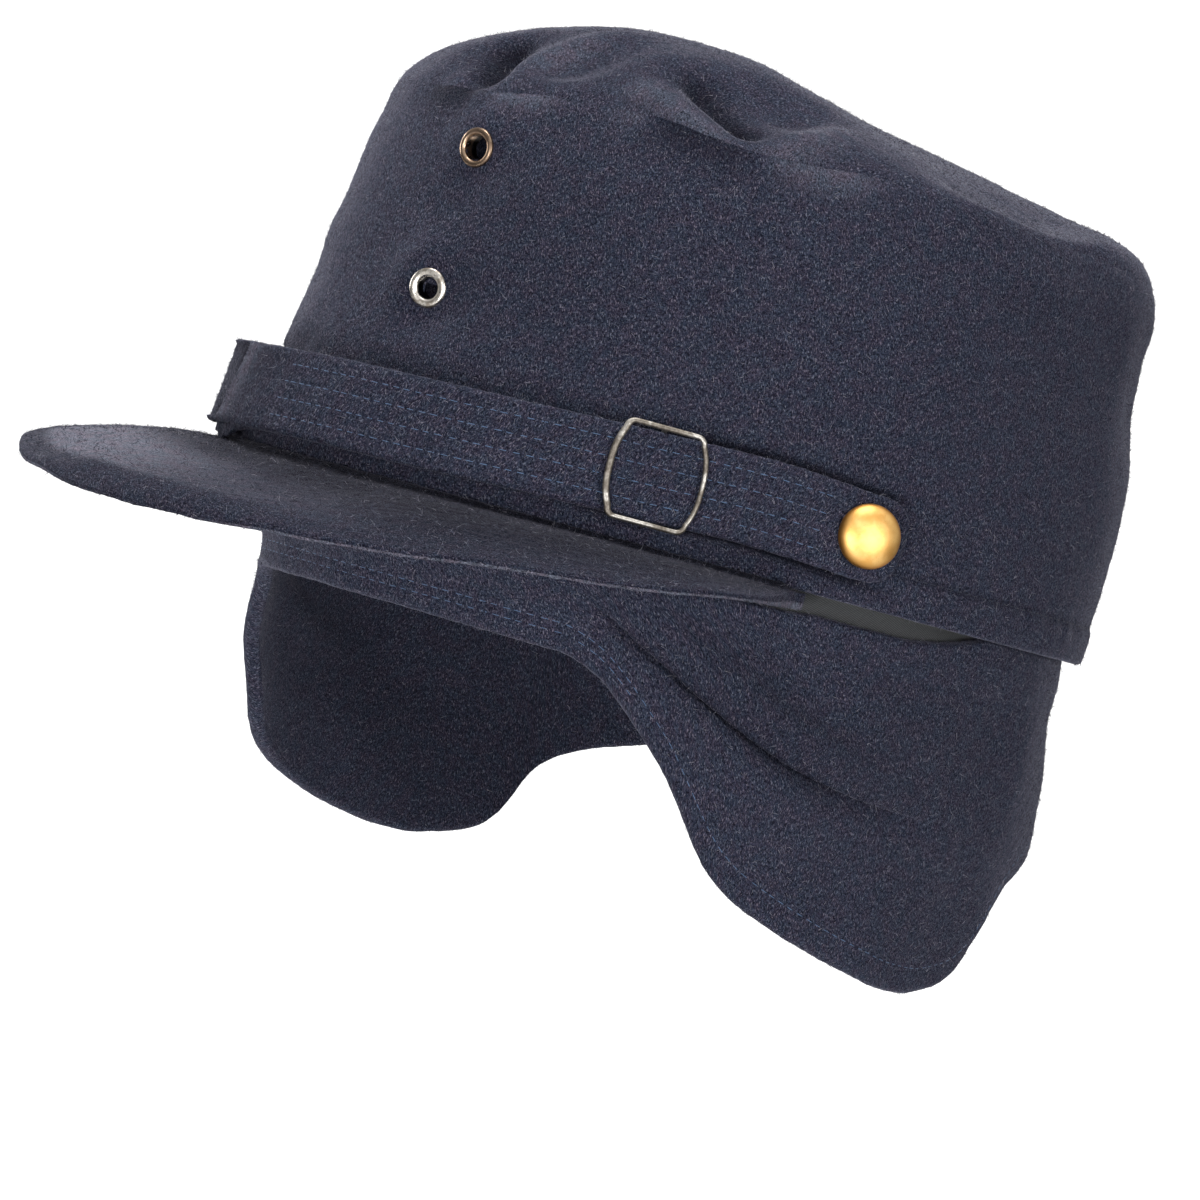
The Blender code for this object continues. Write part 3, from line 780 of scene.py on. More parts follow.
def wool(name, lean=0.0, light=1.0, rim=0.60, sheen=0.34):
    """Fulled melange wool: fine navy, slate and pale fibres that lie across each other, painted paler where a piece
    marks a painted highlight and darker where it marks painted shade. lean turns the nap, in degrees, light scales
    the colour, rim is the weight of a painted sheen, pale fibre colour painted in where the cloth is seen edge-on,
    and sheen is the weight of the whole cloth's."""
    n = Finish(name)
    uv = n.uv()

    def shade(colour):
        return tuple(CLOTH_LIGHT * light * c for c in colour)

    cloudy = n.noise(uv, 260, 2.0, 0.6)
    tone = n.noise(n.mapped(uv, (1, 0.6, 1), 20, (5, 2, 0)), 900, 1.0, 0.5)
    colour = n.mix(n.span(tone, 0.36, 0.64), shade((0.026, 0.031, 0.054)), shade((0.036, 0.033, 0.054)))
    colour = n.mix(n.span(cloudy, 0.3, 0.7, 0.0, 0.30), colour, shade((0.018, 0.021, 0.036)))
    height, pale = None, 0.15
    for i, (turn, (low, high), share, fibre) in enumerate(FIBRES):
        size = (1 / FIBRE_WIDTH, 1 / FIBRE_LENGTH, 1)
        vector = n.mapped(uv, size, turn + lean, (3.1 * i, 7.7 * i, 0))
        shown = n.span(n.noise(vector, 1.0, 1.0, 0.5, 0.4), low, high)
        colour = n.mix(n.math("MULTIPLY", shown, share), colour, shade(fibre))
        step = n.math("MULTIPLY", shown, 1.0 if high > low else -0.8)
        height = step if height is None else n.math("ADD", height, step)
        if high > low:
            pale = n.math("ADD", pale, n.math("MULTIPLY", shown, 0.60))
        if i == 2:
            # Painted highlight: the nap painted paler where a piece marks it
            painted_highlight = n.math("MULTIPLY", n.marked("worn"), n.span(shown, 0.0, 0.8, 0.45, 1.0))
            colour = n.mix(painted_highlight, colour, shade((0.640, 0.630, 0.720)))
    hue = n.span(n.noise(uv, 240, 2.0, 0.55), 0.36, 0.64)
    colour = n.mix(1.0, colour, n.mix(hue, (0.89, 1.00, 1.10), (1.05, 0.95, 1.05)), "MULTIPLY")
    # Painted shade: the colour painted darker where a piece marks it
    colour = n.mix(n.marked("deep"), colour, shade((0.004, 0.004, 0.009)))
    # Painted sheen: pale fibre colour painted in by how edge-on the cloth is seen
    painted_sheen = n.add("ShaderNodeLayerWeight", "Facing", {"Blend": 0.5})
    painted_sheen = n.math("MULTIPLY", n.span(painted_sheen, 0.62, 1.0, 0.0, rim), pale, clamp=True)
    colour = n.mix(painted_sheen, colour, shade((0.380, 0.380, 0.470)))
    return n.done(
        Base_Color=colour,
        Normal=n.bump(height, 0.00007, 0.8, n.bump(cloudy, 0.0004, 0.4)),
        Roughness=0.95,
        Specular_IOR_Level=0.08,
        Sheen_Weight=sheen,
        Sheen_Roughness=0.09,
        Sheen_Tint=(0.62, 0.63, 0.84),
    )


def loose_fibre(name):
    """Single fibres that stand off the cloth: dark, slate and pale ones."""
    n = Finish(name)
    tone = n.marked("tone")
    colour = n.mix(n.span(tone, 0.20, 0.55), (0.008, 0.009, 0.018), (0.100, 0.105, 0.150))
    colour = n.mix(n.span(tone, 0.72, 0.95), colour, (0.330, 0.325, 0.375))
    patches = n.span(n.noise(n.place(), 900, 1.0), 0.35, 0.65, 0.0, 0.35)
    colour = n.mix(patches, colour, (0.020, 0.024, 0.045))
    return n.done(Base_Color=colour, Roughness=0.95, Specular_IOR_Level=0.1)


# The twill's ribs: from one to the next, in metres, and their turn in degrees
RIB_PITCH = 0.00062
RIB_TURN = 52


def twill(name):
    """Grey cotton lining with fine diagonal ribs."""
    n = Finish(name)
    uv = n.uv()
    inputs = {"Vector": n.mapped(uv, turn=RIB_TURN), "Scale": 0.5 / RIB_PITCH, "Distortion": 0.6, "Detail": 1.0}
    wave = {"wave_type": "BANDS", "bands_direction": "X", "wave_profile": "SIN"}
    ribs = n.span(n.add("ShaderNodeTexWave", "Fac", inputs, **wave), 0.1, 0.9)
    slub = n.noise(n.mapped(uv, (1 / 0.0004, 1 / 0.003, 1), RIB_TURN), 1.0, 2.0)
    colour = n.mix(ribs, (0.023, 0.026, 0.028), (0.108, 0.114, 0.119))
    return n.done(
        Base_Color=n.mix(n.span(slub, 0.35, 0.65, 0.0, 0.5), colour, (0.062, 0.063, 0.070)),
        Normal=n.bump(ribs, 0.00016, 0.8),
        Roughness=0.82,
        Specular_IOR_Level=0.25,
        Sheen_Weight=0.15,
        Sheen_Roughness=0.4,
    )


def thread(name, colour):
    """Cotton sewing thread with a fine twist."""
    n = Finish(name)
    twist = n.noise(n.mapped(n.place(), (1, 1, 2)), 5200, 2.0)
    dark = tuple(0.55 * c for c in colour)
    return n.done(
        Base_Color=n.mix(n.span(twist, 0.35, 0.65), dark, colour),
        Normal=n.bump(twist, 0.0001, 0.6),
        Roughness=0.7,
        Specular_IOR_Level=0.3,
        Sheen_Weight=0.2,
        Sheen_Roughness=0.4,
    )


def tarnished(name):
    """Pewter-coloured wire with wear: brown tarnish with bright spots where the tarnish is gone."""
    n = Finish(name)
    patches, fine = n.clouds(170, 1500, 3.0)
    worn = n.math("MULTIPLY", n.span(patches, 0.50, 0.62), n.span(fine, 0.30, 0.75, 0.35, 1.0), clamp=True)
    colour = n.mix(n.span(fine, 0.3, 0.7), (0.120, 0.104, 0.088), (0.230, 0.206, 0.178))
    return n.done(
        Base_Color=n.mix(worn, colour, (0.66, 0.64, 0.60)),
        Roughness=n.span(worn, 0.0, 1.0, 0.55, 0.34),
        Normal=n.bump(fine, 0.00004, 0.4),
        Metallic=1.0,
    )


def gilt(name):
    """Satin gold plate, deeper and duller towards the rim and a little pitted."""
    n = Finish(name)
    cloud, fine = n.clouds(340)
    colour = n.mix(n.span(cloud, 0.3, 0.7), (0.86, 0.47, 0.13), (0.93, 0.60, 0.22))
    colour = n.mix(n.span(n.along(), 0.0054, 0.0078), colour, (0.46, 0.22, 0.055))
    return n.done(
        Base_Color=n.mix(n.span(fine, 0.60, 0.72, 0.0, 0.45), colour, (0.52, 0.27, 0.07)),
        Roughness=n.span(cloud, 0.2, 0.8, 0.42, 0.54),
        Normal=n.bump(fine, 0.00004, 0.4),
        Metallic=1.0,
    )


# How far along an eyelet's section, from the tube's far end, the painted highlight on its lip ends and its dull rim
# starts
EYELET_LIP = (0.0041, 0.0046)
EYELET_RIM = (0.0056, 0.0062)


def eyelet_metal(name, bright, dull, share, inside):
    """Plated eyelet: share of it is still bright, its lip has a painted highlight, and from a depth of the tube
    inwards it is painted dark, a painted shade.
    """
    n = Finish(name)
    cloud, fine = n.clouds(420)
    along = n.along()
    colour = n.mix(n.span(cloud, 0.62 - 0.3 * share, 0.72 - 0.3 * share), dull, bright)
    # Painted highlight: the lip painted brighter than the plate
    colour = n.mix(n.span(along, *EYELET_LIP, 0.0, 0.85), tuple(1.3 * c for c in bright), colour)
    colour = n.mix(n.span(along, *EYELET_RIM, 0.0, 0.80), colour, (0.150, 0.100, 0.070))
    # Painted shade: the tube painted nearly black from the given depth inwards
    return n.done(
        Base_Color=n.mix(n.span(along, inside, inside + 0.0010, 1.0, 0.0), colour, (0.014, 0.012, 0.012)),
        Roughness=n.span(cloud, 0.3, 0.7, 0.42, 0.20),
        Normal=n.bump(fine, 0.00005, 0.4),
        Metallic=1.0,
    )


def pale_floor(name, grey):
    n = Finish(name)
    colour = n.mix(n.noise(n.place(), 60, 3.0), (0.985 * grey,) * 3, (grey,) * 3)
    return n.done(Base_Color=colour, Roughness=0.9, Specular_IOR_Level=0.2)


# Camera, light and floor


def camera_axes():
    """The level ways from the cap towards the camera and to the picture's right."""
    turn = math.radians(CAMERA_TURN)
    return Vector((math.sin(turn), -math.cos(turn), 0)), Vector((math.cos(turn), math.sin(turn), 0))


def build_camera():
    away, right = camera_axes()
    place = away * CAMERA_DISTANCE
    aim = right * CAMERA_AIM[0] + Vector((0, 0, CAMERA_AIM[1]))
    forward = (aim - place).normalized()
    roll = math.radians(CAMERA_ROLL)
    side = right * math.cos(roll) + Vector((0, 0, 1)) * math.sin(roll)
    side = (side - forward * side.dot(forward)).normalized()
    data = bpy.data.cameras.new("camera")
    data.sensor_fit = "AUTO"
    data.sensor_width = SENSOR
    data.lens = CAMERA_LENS
    data.clip_end = 50.0
    placed = Matrix((side, side.cross(forward), -forward)).transposed().to_4x4()
    placed.translation = place
    made = in_scene("camera", data)
    made.matrix_world = placed
    bpy.context.scene.camera = made


def area_light(name, place, aim, size, power, colour):
    data = bpy.data.lights.new(name, "AREA")
    data.shape = "RECTANGLE"
    data.size, data.size_y = size
    data.energy = power
    data.color = colour
    made = in_scene(name, data)
    made.visible_camera = False
    made.location = place
    made.rotation_euler = (aim - place).to_track_quat("-Z", "Y").to_euler()


def build_world(away, up):
    """White surroundings for what shines: bright above, in front and behind, and dim at both sides. Matte
    cloth gets a small share of them, and the camera sees plain white."""
    world = bpy.data.worlds.new("studio")
    n = Nodes(world)
    place = n.add("ShaderNodeTexCoord", "Generated")
    depth, rise = (
        n.add("ShaderNodeVectorMath", "Value", {0: place, 1: axis}, operation="DOT_PRODUCT") for axis in (away, up)
    )
    rise = n.math("MAXIMUM", rise, 0.0)
    level = n.math("MULTIPLY_ADD", n.math("MULTIPLY", depth, depth), WORLD_DEPTH, WORLD_BASE)
    level = n.math("MULTIPLY_ADD", n.math("MULTIPLY", rise, rise), WORLD_TOP, level)
    shiny = n.math("MAXIMUM", n.add("ShaderNodeLightPath", "Is Glossy Ray"), WORLD_SOFT)
    level = n.math("MULTIPLY", level, shiny)
    seen = n.add("ShaderNodeLightPath", "Is Camera Ray")
    background = n.tree.nodes["Background"]
    n.feed(background.inputs["Color"], (1.0, 1.0, 1.0))
    strength = n.add("ShaderNodeMix", "Result", {"Factor": seen, "A": level, "B": WORLD_SEEN})
    n.feed(background.inputs["Strength"], strength)
    bpy.context.scene.world = world


def build_stage():
    away, right = camera_axes()
    up = Vector((0, 0, 1))
    mesh = bpy.data.meshes.new("floor")
    bm = bmesh.new()
    bmesh.ops.create_circle(bm, cap_ends=True, segments=96, radius=FLOOR_RADIUS)
    bm.to_mesh(mesh)
    bm.free()
    mesh.materials.append(pale_floor("floor_pale", 0.78))
    floor = in_scene("floor", mesh)
    floor.location.z = FLOOR_Z
    build_world(away, up)
    for name, (ahead, aside, above), aim_z, size, power, blue in LIGHTS:
        place = away * ahead + right * aside + up * above
        area_light(name, place, Vector((0, 0, aim_z)), size, power, (1.0, 0.99, blue))
    view = bpy.context.scene.view_settings
    view.view_transform = "Standard"
    view.look = "None"


# Crown


CROWN_COLUMNS = 500
# Slow waves of handled cloth, as the wavelength, height and seed of each
CROWN_WAVES = ((0.055, 0.00045, 11), (0.022, 0.00016, 12))
NAP_SEED = 13
HEM_STITCHES = HEM_TURN - 0.0004
# Smoothing over the crown's rim: how often, and over how many rows
RIM_ROUNDS = 130
RIM_ROWS = 17.0
# Heights at which a ridge gets its full painted highlight and a hollow its full painted shade
RIDGE_FULL = 0.0022
HOLLOW_FULL = 0.0050
# The round patch of cloth that lies flat under an eyelet, and how far the eyelet covers its hole's edge
EYELET_PATCH = 0.0095
EYELET_COVER = 0.0011
STRAP_GROOVE = 0.0016
SEAM_DIP = 0.00010
SEAM_RIDGE = 0.00004
# Outer faces and whole sections of the cloths, for their stitches and loose fibres
SURFACES = {}
FIBRE_ROWS = {}
FIBRE_COUNTS = {"crown_side": 26000, "crown_top": 13000, "curtain": 22000, "peak": 10000, "strap_outer": 4000}


def keep_surface(name, angles, points, normals):
    """Keeps a piece's outer face, as points and normals by row and column, for its stitches."""
    SURFACES[name] = (angles, points.copy(), normals.copy())


def keep_rows(name, rows, outer, inner=0.25):
    """Keeps a cloth's section for its loose fibres, fewer on its inner face."""
    share = np.full(len(rows), inner)
    share[:outer] = 1.0
    FIBRE_ROWS[name] = (rows, share)


def columns_from_back(count):
    """Angles right round, from the back, so that the cloth's joint is at the back seam."""
    return -180 + np.arange(count) * 360.0 / count


def nearest(points, place):
    """The point of a grid that is closest to a place."""
    apart = np.linalg.norm(points - np.array(place), axis=-1)
    return points[np.unravel_index(np.argmin(apart), apart.shape)]


def crease_heights(points):
    """How far soft ridges and hollows lift each point."""
    height = np.zeros(points.shape[:2])
    for start, end, long, wide, rise in CREASES:
        start, end = nearest(points, start), nearest(points, end)
        length = np.linalg.norm(end - start)
        axis = (end - start) / length
        offset = points - (start + end) / 2
        along = offset @ axis
        across = np.linalg.norm(offset - along[..., None] * axis, axis=-1)
        beyond = np.maximum(np.abs(along) - length / 2 * 0.6, 0)
        height += rise * np.exp(-((beyond / (long * 0.6)) ** 2) - (across / wide) ** 2)
    return height


def mark_creases(made, height, more=0.0):
    # Painted shade in the hollows and a painted highlight on the ridges
    deep = np.clip(-height / HOLLOW_FULL, 0, 1) * 0.70 + more
    mark(made.data, deep=deep, worn=np.clip(height / RIDGE_FULL, 0, 1) * 0.32)


def crown_profile(angles):
    """Fine rows up the side, over the rim and to the middle of the top, for each angle, and the rim's row."""
    z = np.linspace(0.0, SIDE_HEIGHT, 150)[:, None]
    reach = 1 - np.linspace(0.0, 1.0, 200)[:, None] ** 1.15
    points = np.concatenate([side_point(angles, z), top_point(angles, reach)], axis=0)
    rim = len(z)
    weight = bell(np.arange(len(points)), rim, RIM_ROWS)[:, None, None]
    for _ in range(RIM_ROUNDS):
        middle = points[1:-1] * 0.5 + (points[:-2] + points[2:]) * 0.25
        points[1:-1] += (middle - points[1:-1]) * weight[1:-1]

    fade = np.concatenate([np.ones(rim), ease(reach[:, 0], 0.72, 0.97)])[:, None]
    out = sum(
        bell(signed(angles - middle), 0.0, 48.0) * smooth(LEAN_ROWS, "z", name, points[..., 2])
        for name, middle in (("right", -48), ("back", 132))
    )
    points = pushed_out(points, angles, out * fade)
    near, across = (points @ np.array(axis) for axis in camera_axes())
    over = np.concatenate([np.zeros(rim), ease(1 - reach[:, 0], 0.0, 0.06)])[:, None]
    points[..., 2] += smooth(SWAY_ROWS, "across", "rise", across) * over * (1 - ease(near, 0.036, 0.066))
    normals = grid_normals(points, True)
    normals[-1] = (0, 0, 1)
    return raised(points, normals, crease_heights(points)), rim


def split_crown(angles, side_rows, top_rows):
    """The crown's outside as two grids that meet at the seam."""
    points, rim = crown_profile(angles)
    seam_z = smooth(SEAM_ROWS, "angle", "z", signed(angles))
    length = arc_length(points, 0)
    at = np.empty(len(angles))
    for j in range(len(angles)):
        upward = np.maximum.accumulate(points[: rim + 50, j, 2])
        at[j] = np.interp(seam_z[j], upward, length[: rim + 50, j])
    for _ in range(12):
        at = (np.roll(at, 1) + at * 2 + np.roll(at, -1)) / 4
    at = at / length[-1]
    side = resample(points, side_rows[:, None] * at)
    return side, resample(points, at + top_rows[:, None] * (1 - at))


def round_lengths(angles, z=0.02):
    """Distance round the crown at each angle."""
    ring = side_point(np.append(angles, angles[0] + 360), z)
    return arc_length(ring, 0)[:-1]


def wrap_mesh(name, rows, angles, material):
    """A piece from a closed section that runs right round the cap."""
    return grid_mesh(name, rows, section_uv(rows, round_lengths(angles)), True, material, loop_rows=True)


def seam_line(points, normals, cloth):
    """A seam's small turned edge: a shallow dip with a soft ridge, uneven along its length. cloth is the
    distance from the seam."""
    uneven = 1 + 0.5 * ripple(points, 0.012, 23)
    shape = (-SEAM_DIP * bell(cloth, 0.0, 0.0008) + SEAM_RIDGE * bell(cloth, 0.0022, 0.0014)) * uneven
    return raised(points, normals, shape)


def strap_contact(angles, z, shape):
    """Adds grooves along the strap's edges to the side's shape, and says how near each point is to them, for the
    painted shade along them.
    """
    turn = np.abs(signed(angles))
    beside = ease(turn, 30, 46) * (1 - ease(turn, 70, 78))
    contact = np.zeros(z.shape)
    for edge, far in ((0.5, 1), (-0.5, -1)):
        line = strap_point(angles, edge)[..., 2]
        shape -= STRAP_GROOVE * bell(z, line - far * 0.0002, 0.0013) * beside
        shape += 0.0005 * bell(z, line + far * 0.0032, 0.0022) * beside
        contact = np.maximum(contact, bell(z, line + far * 0.0003, 0.0010) * beside)
    return contact


def build_side(angles, side, material):
    side = raised(side, grid_normals(side, True), ripples(side, CROWN_WAVES) * ease(side[..., 2], 0.004, 0.030))
    side[..., 2] += 0.0006 * (1 - ease(side[..., 2], 0.0, 0.004))
    normals = grid_normals(side, True)
    z = side[..., 2]
    length = arc_length(side, 0)
    shape = -0.00050 * bell(z, HEM_STITCHES, 0.00070)
    shape += 0.00016 * ripple(side * np.array([1, 1, 0.2]), 0.0065, 21) * bell(z, HEM_TURN - 0.0020, 0.0032)
    shape += 0.00030 * bell(z, 0.0030, 0.0040)
    contact = strap_contact(angles, z, shape)
    for name in EYELETS:
        placed = eyelet_place(name)
        middle, outward = np.array(placed.translation), np.array(placed.col[2][:3])
        apart = np.linalg.norm(side - middle, axis=-1)
        lift = ((middle - side) @ outward) / np.maximum(normals @ outward, 0.3)
        side = raised(side, normals, lift * np.exp(-((apart / EYELET_PATCH) ** 2.6)) * (apart < 0.03))
    rows = shell_rows(side, normals, CROWN_WALL, 6, start=0.48, end=0.1, arc=6)
    count = len(side)
    rows[:count] = seam_line(raised(rows[:count], normals, shape), normals, length[-1] - length)
    rows = napped(rows, True, NAP_SEED)
    rows[..., 2] = np.maximum(rows[..., 2], 0.0)
    keep_surface("crown_side", angles, rows[:count], normals)
    keep_rows("crown_side", rows, count + 4)
    made = wrap_mesh("crown_side_cloth", rows, angles, material)
    height, deep = np.zeros((2,) + rows.shape[:2])
    height[:count] = crease_heights(rows[:count])
    # Painted shade along the strap's edges and in the stitched groove of the hem
    deep[:count] = contact * 0.75 + 0.35 * bell(z, HEM_STITCHES, 0.0010)
    mark_creases(made, height, deep)
    for name in EYELETS:
        cut_hole(made, eyelet_place(name), EYELET_DIAMETER / 2 - EYELET_COVER)
    return dress(made, "crown_side")


def build_top(angles, top, material):
    normals = grid_normals(top, True)
    normals[-1] = (0, 0, 1)
    from_seam = arc_length(top, 0)
    top = seam_line(raised(top, normals, ripples(top, CROWN_WAVES)), normals, from_seam)
    top[-1] = top[-1].mean(axis=0)
    normals = grid_normals(top, True)
    normals[-1] = unit(normals[-2].mean(axis=0))
    count = len(top)
    inner = (top - normals * CROWN_WALL)[::-1][inner_rows(count, 5)]
    rows = np.concatenate([top[::-1], inner], axis=0)
    rows[:count] = raised(rows[:count], normals, nap(rows, NAP_SEED)[:count])
    keep_rows("crown_top", rows[:count][::-1], count)
    middle = arc_length(rows, 0)
    turn = np.radians(angles)
    uv = np.stack([middle * np.sin(turn), -middle * np.cos(turn)], axis=-1)
    made = disc_mesh("crown_top_cloth", rows[::-1], uv[::-1], material)
    return dress(made, "crown_top")


def build_crown(material):
    angles = columns_from_back(CROWN_COLUMNS)
    side_rows = np.append(np.linspace(0.0, 0.9990, 98), 1.0)
    top_rows = np.append(0.0, 0.0012 + 0.9988 * np.linspace(0, 1, 98) ** 0.95)
    side, top = split_crown(angles, side_rows, top_rows)
    return build_side(angles, side, material), build_top(angles, top, material)


def cut_hole(made, placed, radius):
    """Removes a cloth's faces round an eyelet's axis."""
    inverse = placed.inverted()
    with editing(made) as bm:
        gone = []
        for face in bm.faces:
            at = inverse @ face.calc_center_median()
            if abs(at.z) < 0.006 and math.hypot(at.x, at.y) < radius:
                gone.append(face)
        bmesh.ops.delete(bm, geom=gone, context="FACES")


def disc_mesh(name, rows, uv, material):
    """A closed cap: its first and last rows close to a point each."""
    made = grid_mesh(name, rows, uv, True, material)
    mark_creases(made, crease_heights(rows))
    with editing(made) as bm:
        columns = rows.shape[1]
        ends = [bm.verts[i] for i in (*range(columns), *range(-1, -columns - 1, -1))]
        bmesh.ops.remove_doubles(bm, verts=ends, dist=0.00002)
        bmesh.ops.dissolve_degenerate(bm, dist=0.000001, edges=bm.edges)
    return made


# Curtain, lining and peak


def curtain_rows(angles, count):
    """Drops of the curtain's rows, closer together at the crease."""
    half = CURTAIN_WALL / 2
    top = smooth(CURTAIN_TOP, "angle", "drop", mirrored(angles))
    bottom = curtain_edge(angles) - half * 0.95
    line, strength = fold_line(angles)
    drop = (top + half) + (bottom - top - half) * np.linspace(0, 1, 500)[:, None]
    density = np.cumsum(1 + 3.5 * strength * bell(drop, line + 0.0006, 0.0040), axis=0)
    share = (density - density[:1]) / (density[-1:] - density[:1])
    wanted = np.linspace(1, 0, count)
    return np.stack([np.interp(wanted, share[:, j], drop[:, j]) for j in range(len(angles))], axis=1)


# How far the curtain's back stands out beside the neck, by its drop
NECK_ROWS = table(
    "drop out",
    (0.000, 0.0003),
    (0.006, 0.0010),
    (0.011, 0.0010),
    (0.025, 0.0007),
    (0.045, 0.0008),
    (0.060, 0.0014),
    (0.075, 0.0010),
    (0.083, 0.0006),
)
CURTAIN_WAVES = ((0.045, 0.0005, 31), (0.018, 0.00016, 32))
# Sewn grooves of the curtain's front: how far from its edge, and their depth
EDGE_GROOVES = (0.0060, 0.0040)
GROOVE_DEPTH = 0.00016
# Swell above the crease, hollow below it, and how far the fold hangs over it
CREASE_SWELL = 0.0028
CREASE_HOLLOW = 0.0016
CREASE_HANG = 0.0022


def build_curtain(material):
    angles = columns_from_back(480)
    count = 104
    drop = curtain_rows(angles, count)
    points = curtain_point(angles, drop)
    out = bell(mirrored(angles), 132.0, 34.0) * np.interp(drop, NECK_ROWS["drop"], NECK_ROWS["out"])
    out = out - 0.0011 * bell(signed(angles), -50.0, 22.0) * ease(drop, 0.010, 0.022)
    points = pushed_out(points, angles, out)
    slow = ripples(points, CURTAIN_WAVES) * ease(drop, 0.004, 0.016)
    points = raised(points, grid_normals(points, True), slow)
    normals = grid_normals(points, True)
    rows = shell_rows(points, normals, CURTAIN_WALL, 3, end=0.5, arc=9)

    line, strength = fold_line(angles)
    above = line - drop
    over = ease(above, -0.0003, 0.0006)
    from_edge = curtain_edge(angles) - drop
    fade = ease(from_edge, 0.004, 0.014)
    crease = over * CREASE_SWELL * bell(np.maximum(above, 0), 0.0008, 0.0058)
    crease -= (1 - over) * CREASE_HOLLOW * bell(np.minimum(above, 0), 0.0, 0.0030)
    grooves = sum(-GROOVE_DEPTH * bell(from_edge, inset, 0.0006) for inset in EDGE_GROOVES)
    front = 1 - ease(mirrored(angles), 62.0, 74.0)
    rows[:count] = raised(rows[:count], normals, crease * strength * fade + grooves * front)
    rows[:count, :, 2] -= CREASE_HANG * over * bell(above, 0.0006, 0.0024) * strength * fade
    rows = napped(rows, True, 33)
    keep_surface("curtain", angles, rows[:count], normals)
    keep_rows("curtain", rows, count, 0.5)
    made = wrap_mesh("curtain_cloth", rows, angles, material)
    deep = np.zeros(rows.shape[:2])
    # Painted shade in and around the crease
    deep[:count] = 0.75 * bell(above, -0.0002, 0.0011) * (strength * fade) + 0.3 * bell(above, 0.0, 0.004) * strength
    mark(made.data, deep=deep)
    return dress(made, "ear_flap_curtain")


def build_lining(material):
    angles = columns_from_back(320)
    z = np.linspace(-LINING_BOTTOM, LINING_TOP, 20)[:, None]
    points = lining_point(angles, np.broadcast_to(z, (20, len(angles))))
    normals = grid_normals(points, True)
    points = raised(points, normals, ripple(points, 0.02, 41) * 0.00012)
    rows = shell_rows(points, normals, LINING_WALL, 3, arc=3)
    return dress(wrap_mesh("lining_twill", rows, angles, material), "lining_band")


def peak_point(share, out):
    """On the peak's even top: share is the way round it from -1 to 1, and out the way from hem to edge."""
    turn = np.abs(share)
    angle = share * PEAK_HALF_SPAN
    reach = PEAK_LENGTH * smooth(PEAK_ROWS, "share", "overhang", turn) * out
    heading = np.radians(angle * PEAK_SPLAY)
    drop = PEAK_DROP * smooth(PEAK_ROWS, "share", "drop", turn) * out**1.15
    start = side_point(angle, np.zeros_like(angle))
    return start + stack(reach * np.sin(heading), -reach * np.cos(heading), -GAP - drop)


# The peak's rolled edge from its top to its underside: share of the way down, and reach outwards
PEAK_EDGE = (
    (0.12, 0.00010),
    (0.28, 0.00018),
    (0.40, 0.00010),
    (0.52, 0.00000),
    (0.64, 0.00012),
    (0.76, 0.00024),
    (0.88, 0.00012),
    (0.96, -0.00018),
)
# How far in from the edge the top starts to turn down, the face's least depth, and where it is full size
PEAK_TURN = 0.0075
PEAK_LIP = 0.0013
PEAK_FULL = 0.022
# Slow waves of handled cloth, as the wavelength, height and seed of each
PEAK_WAVES = ((0.05, 0.00030, 51), (0.019, 0.00010, 52))


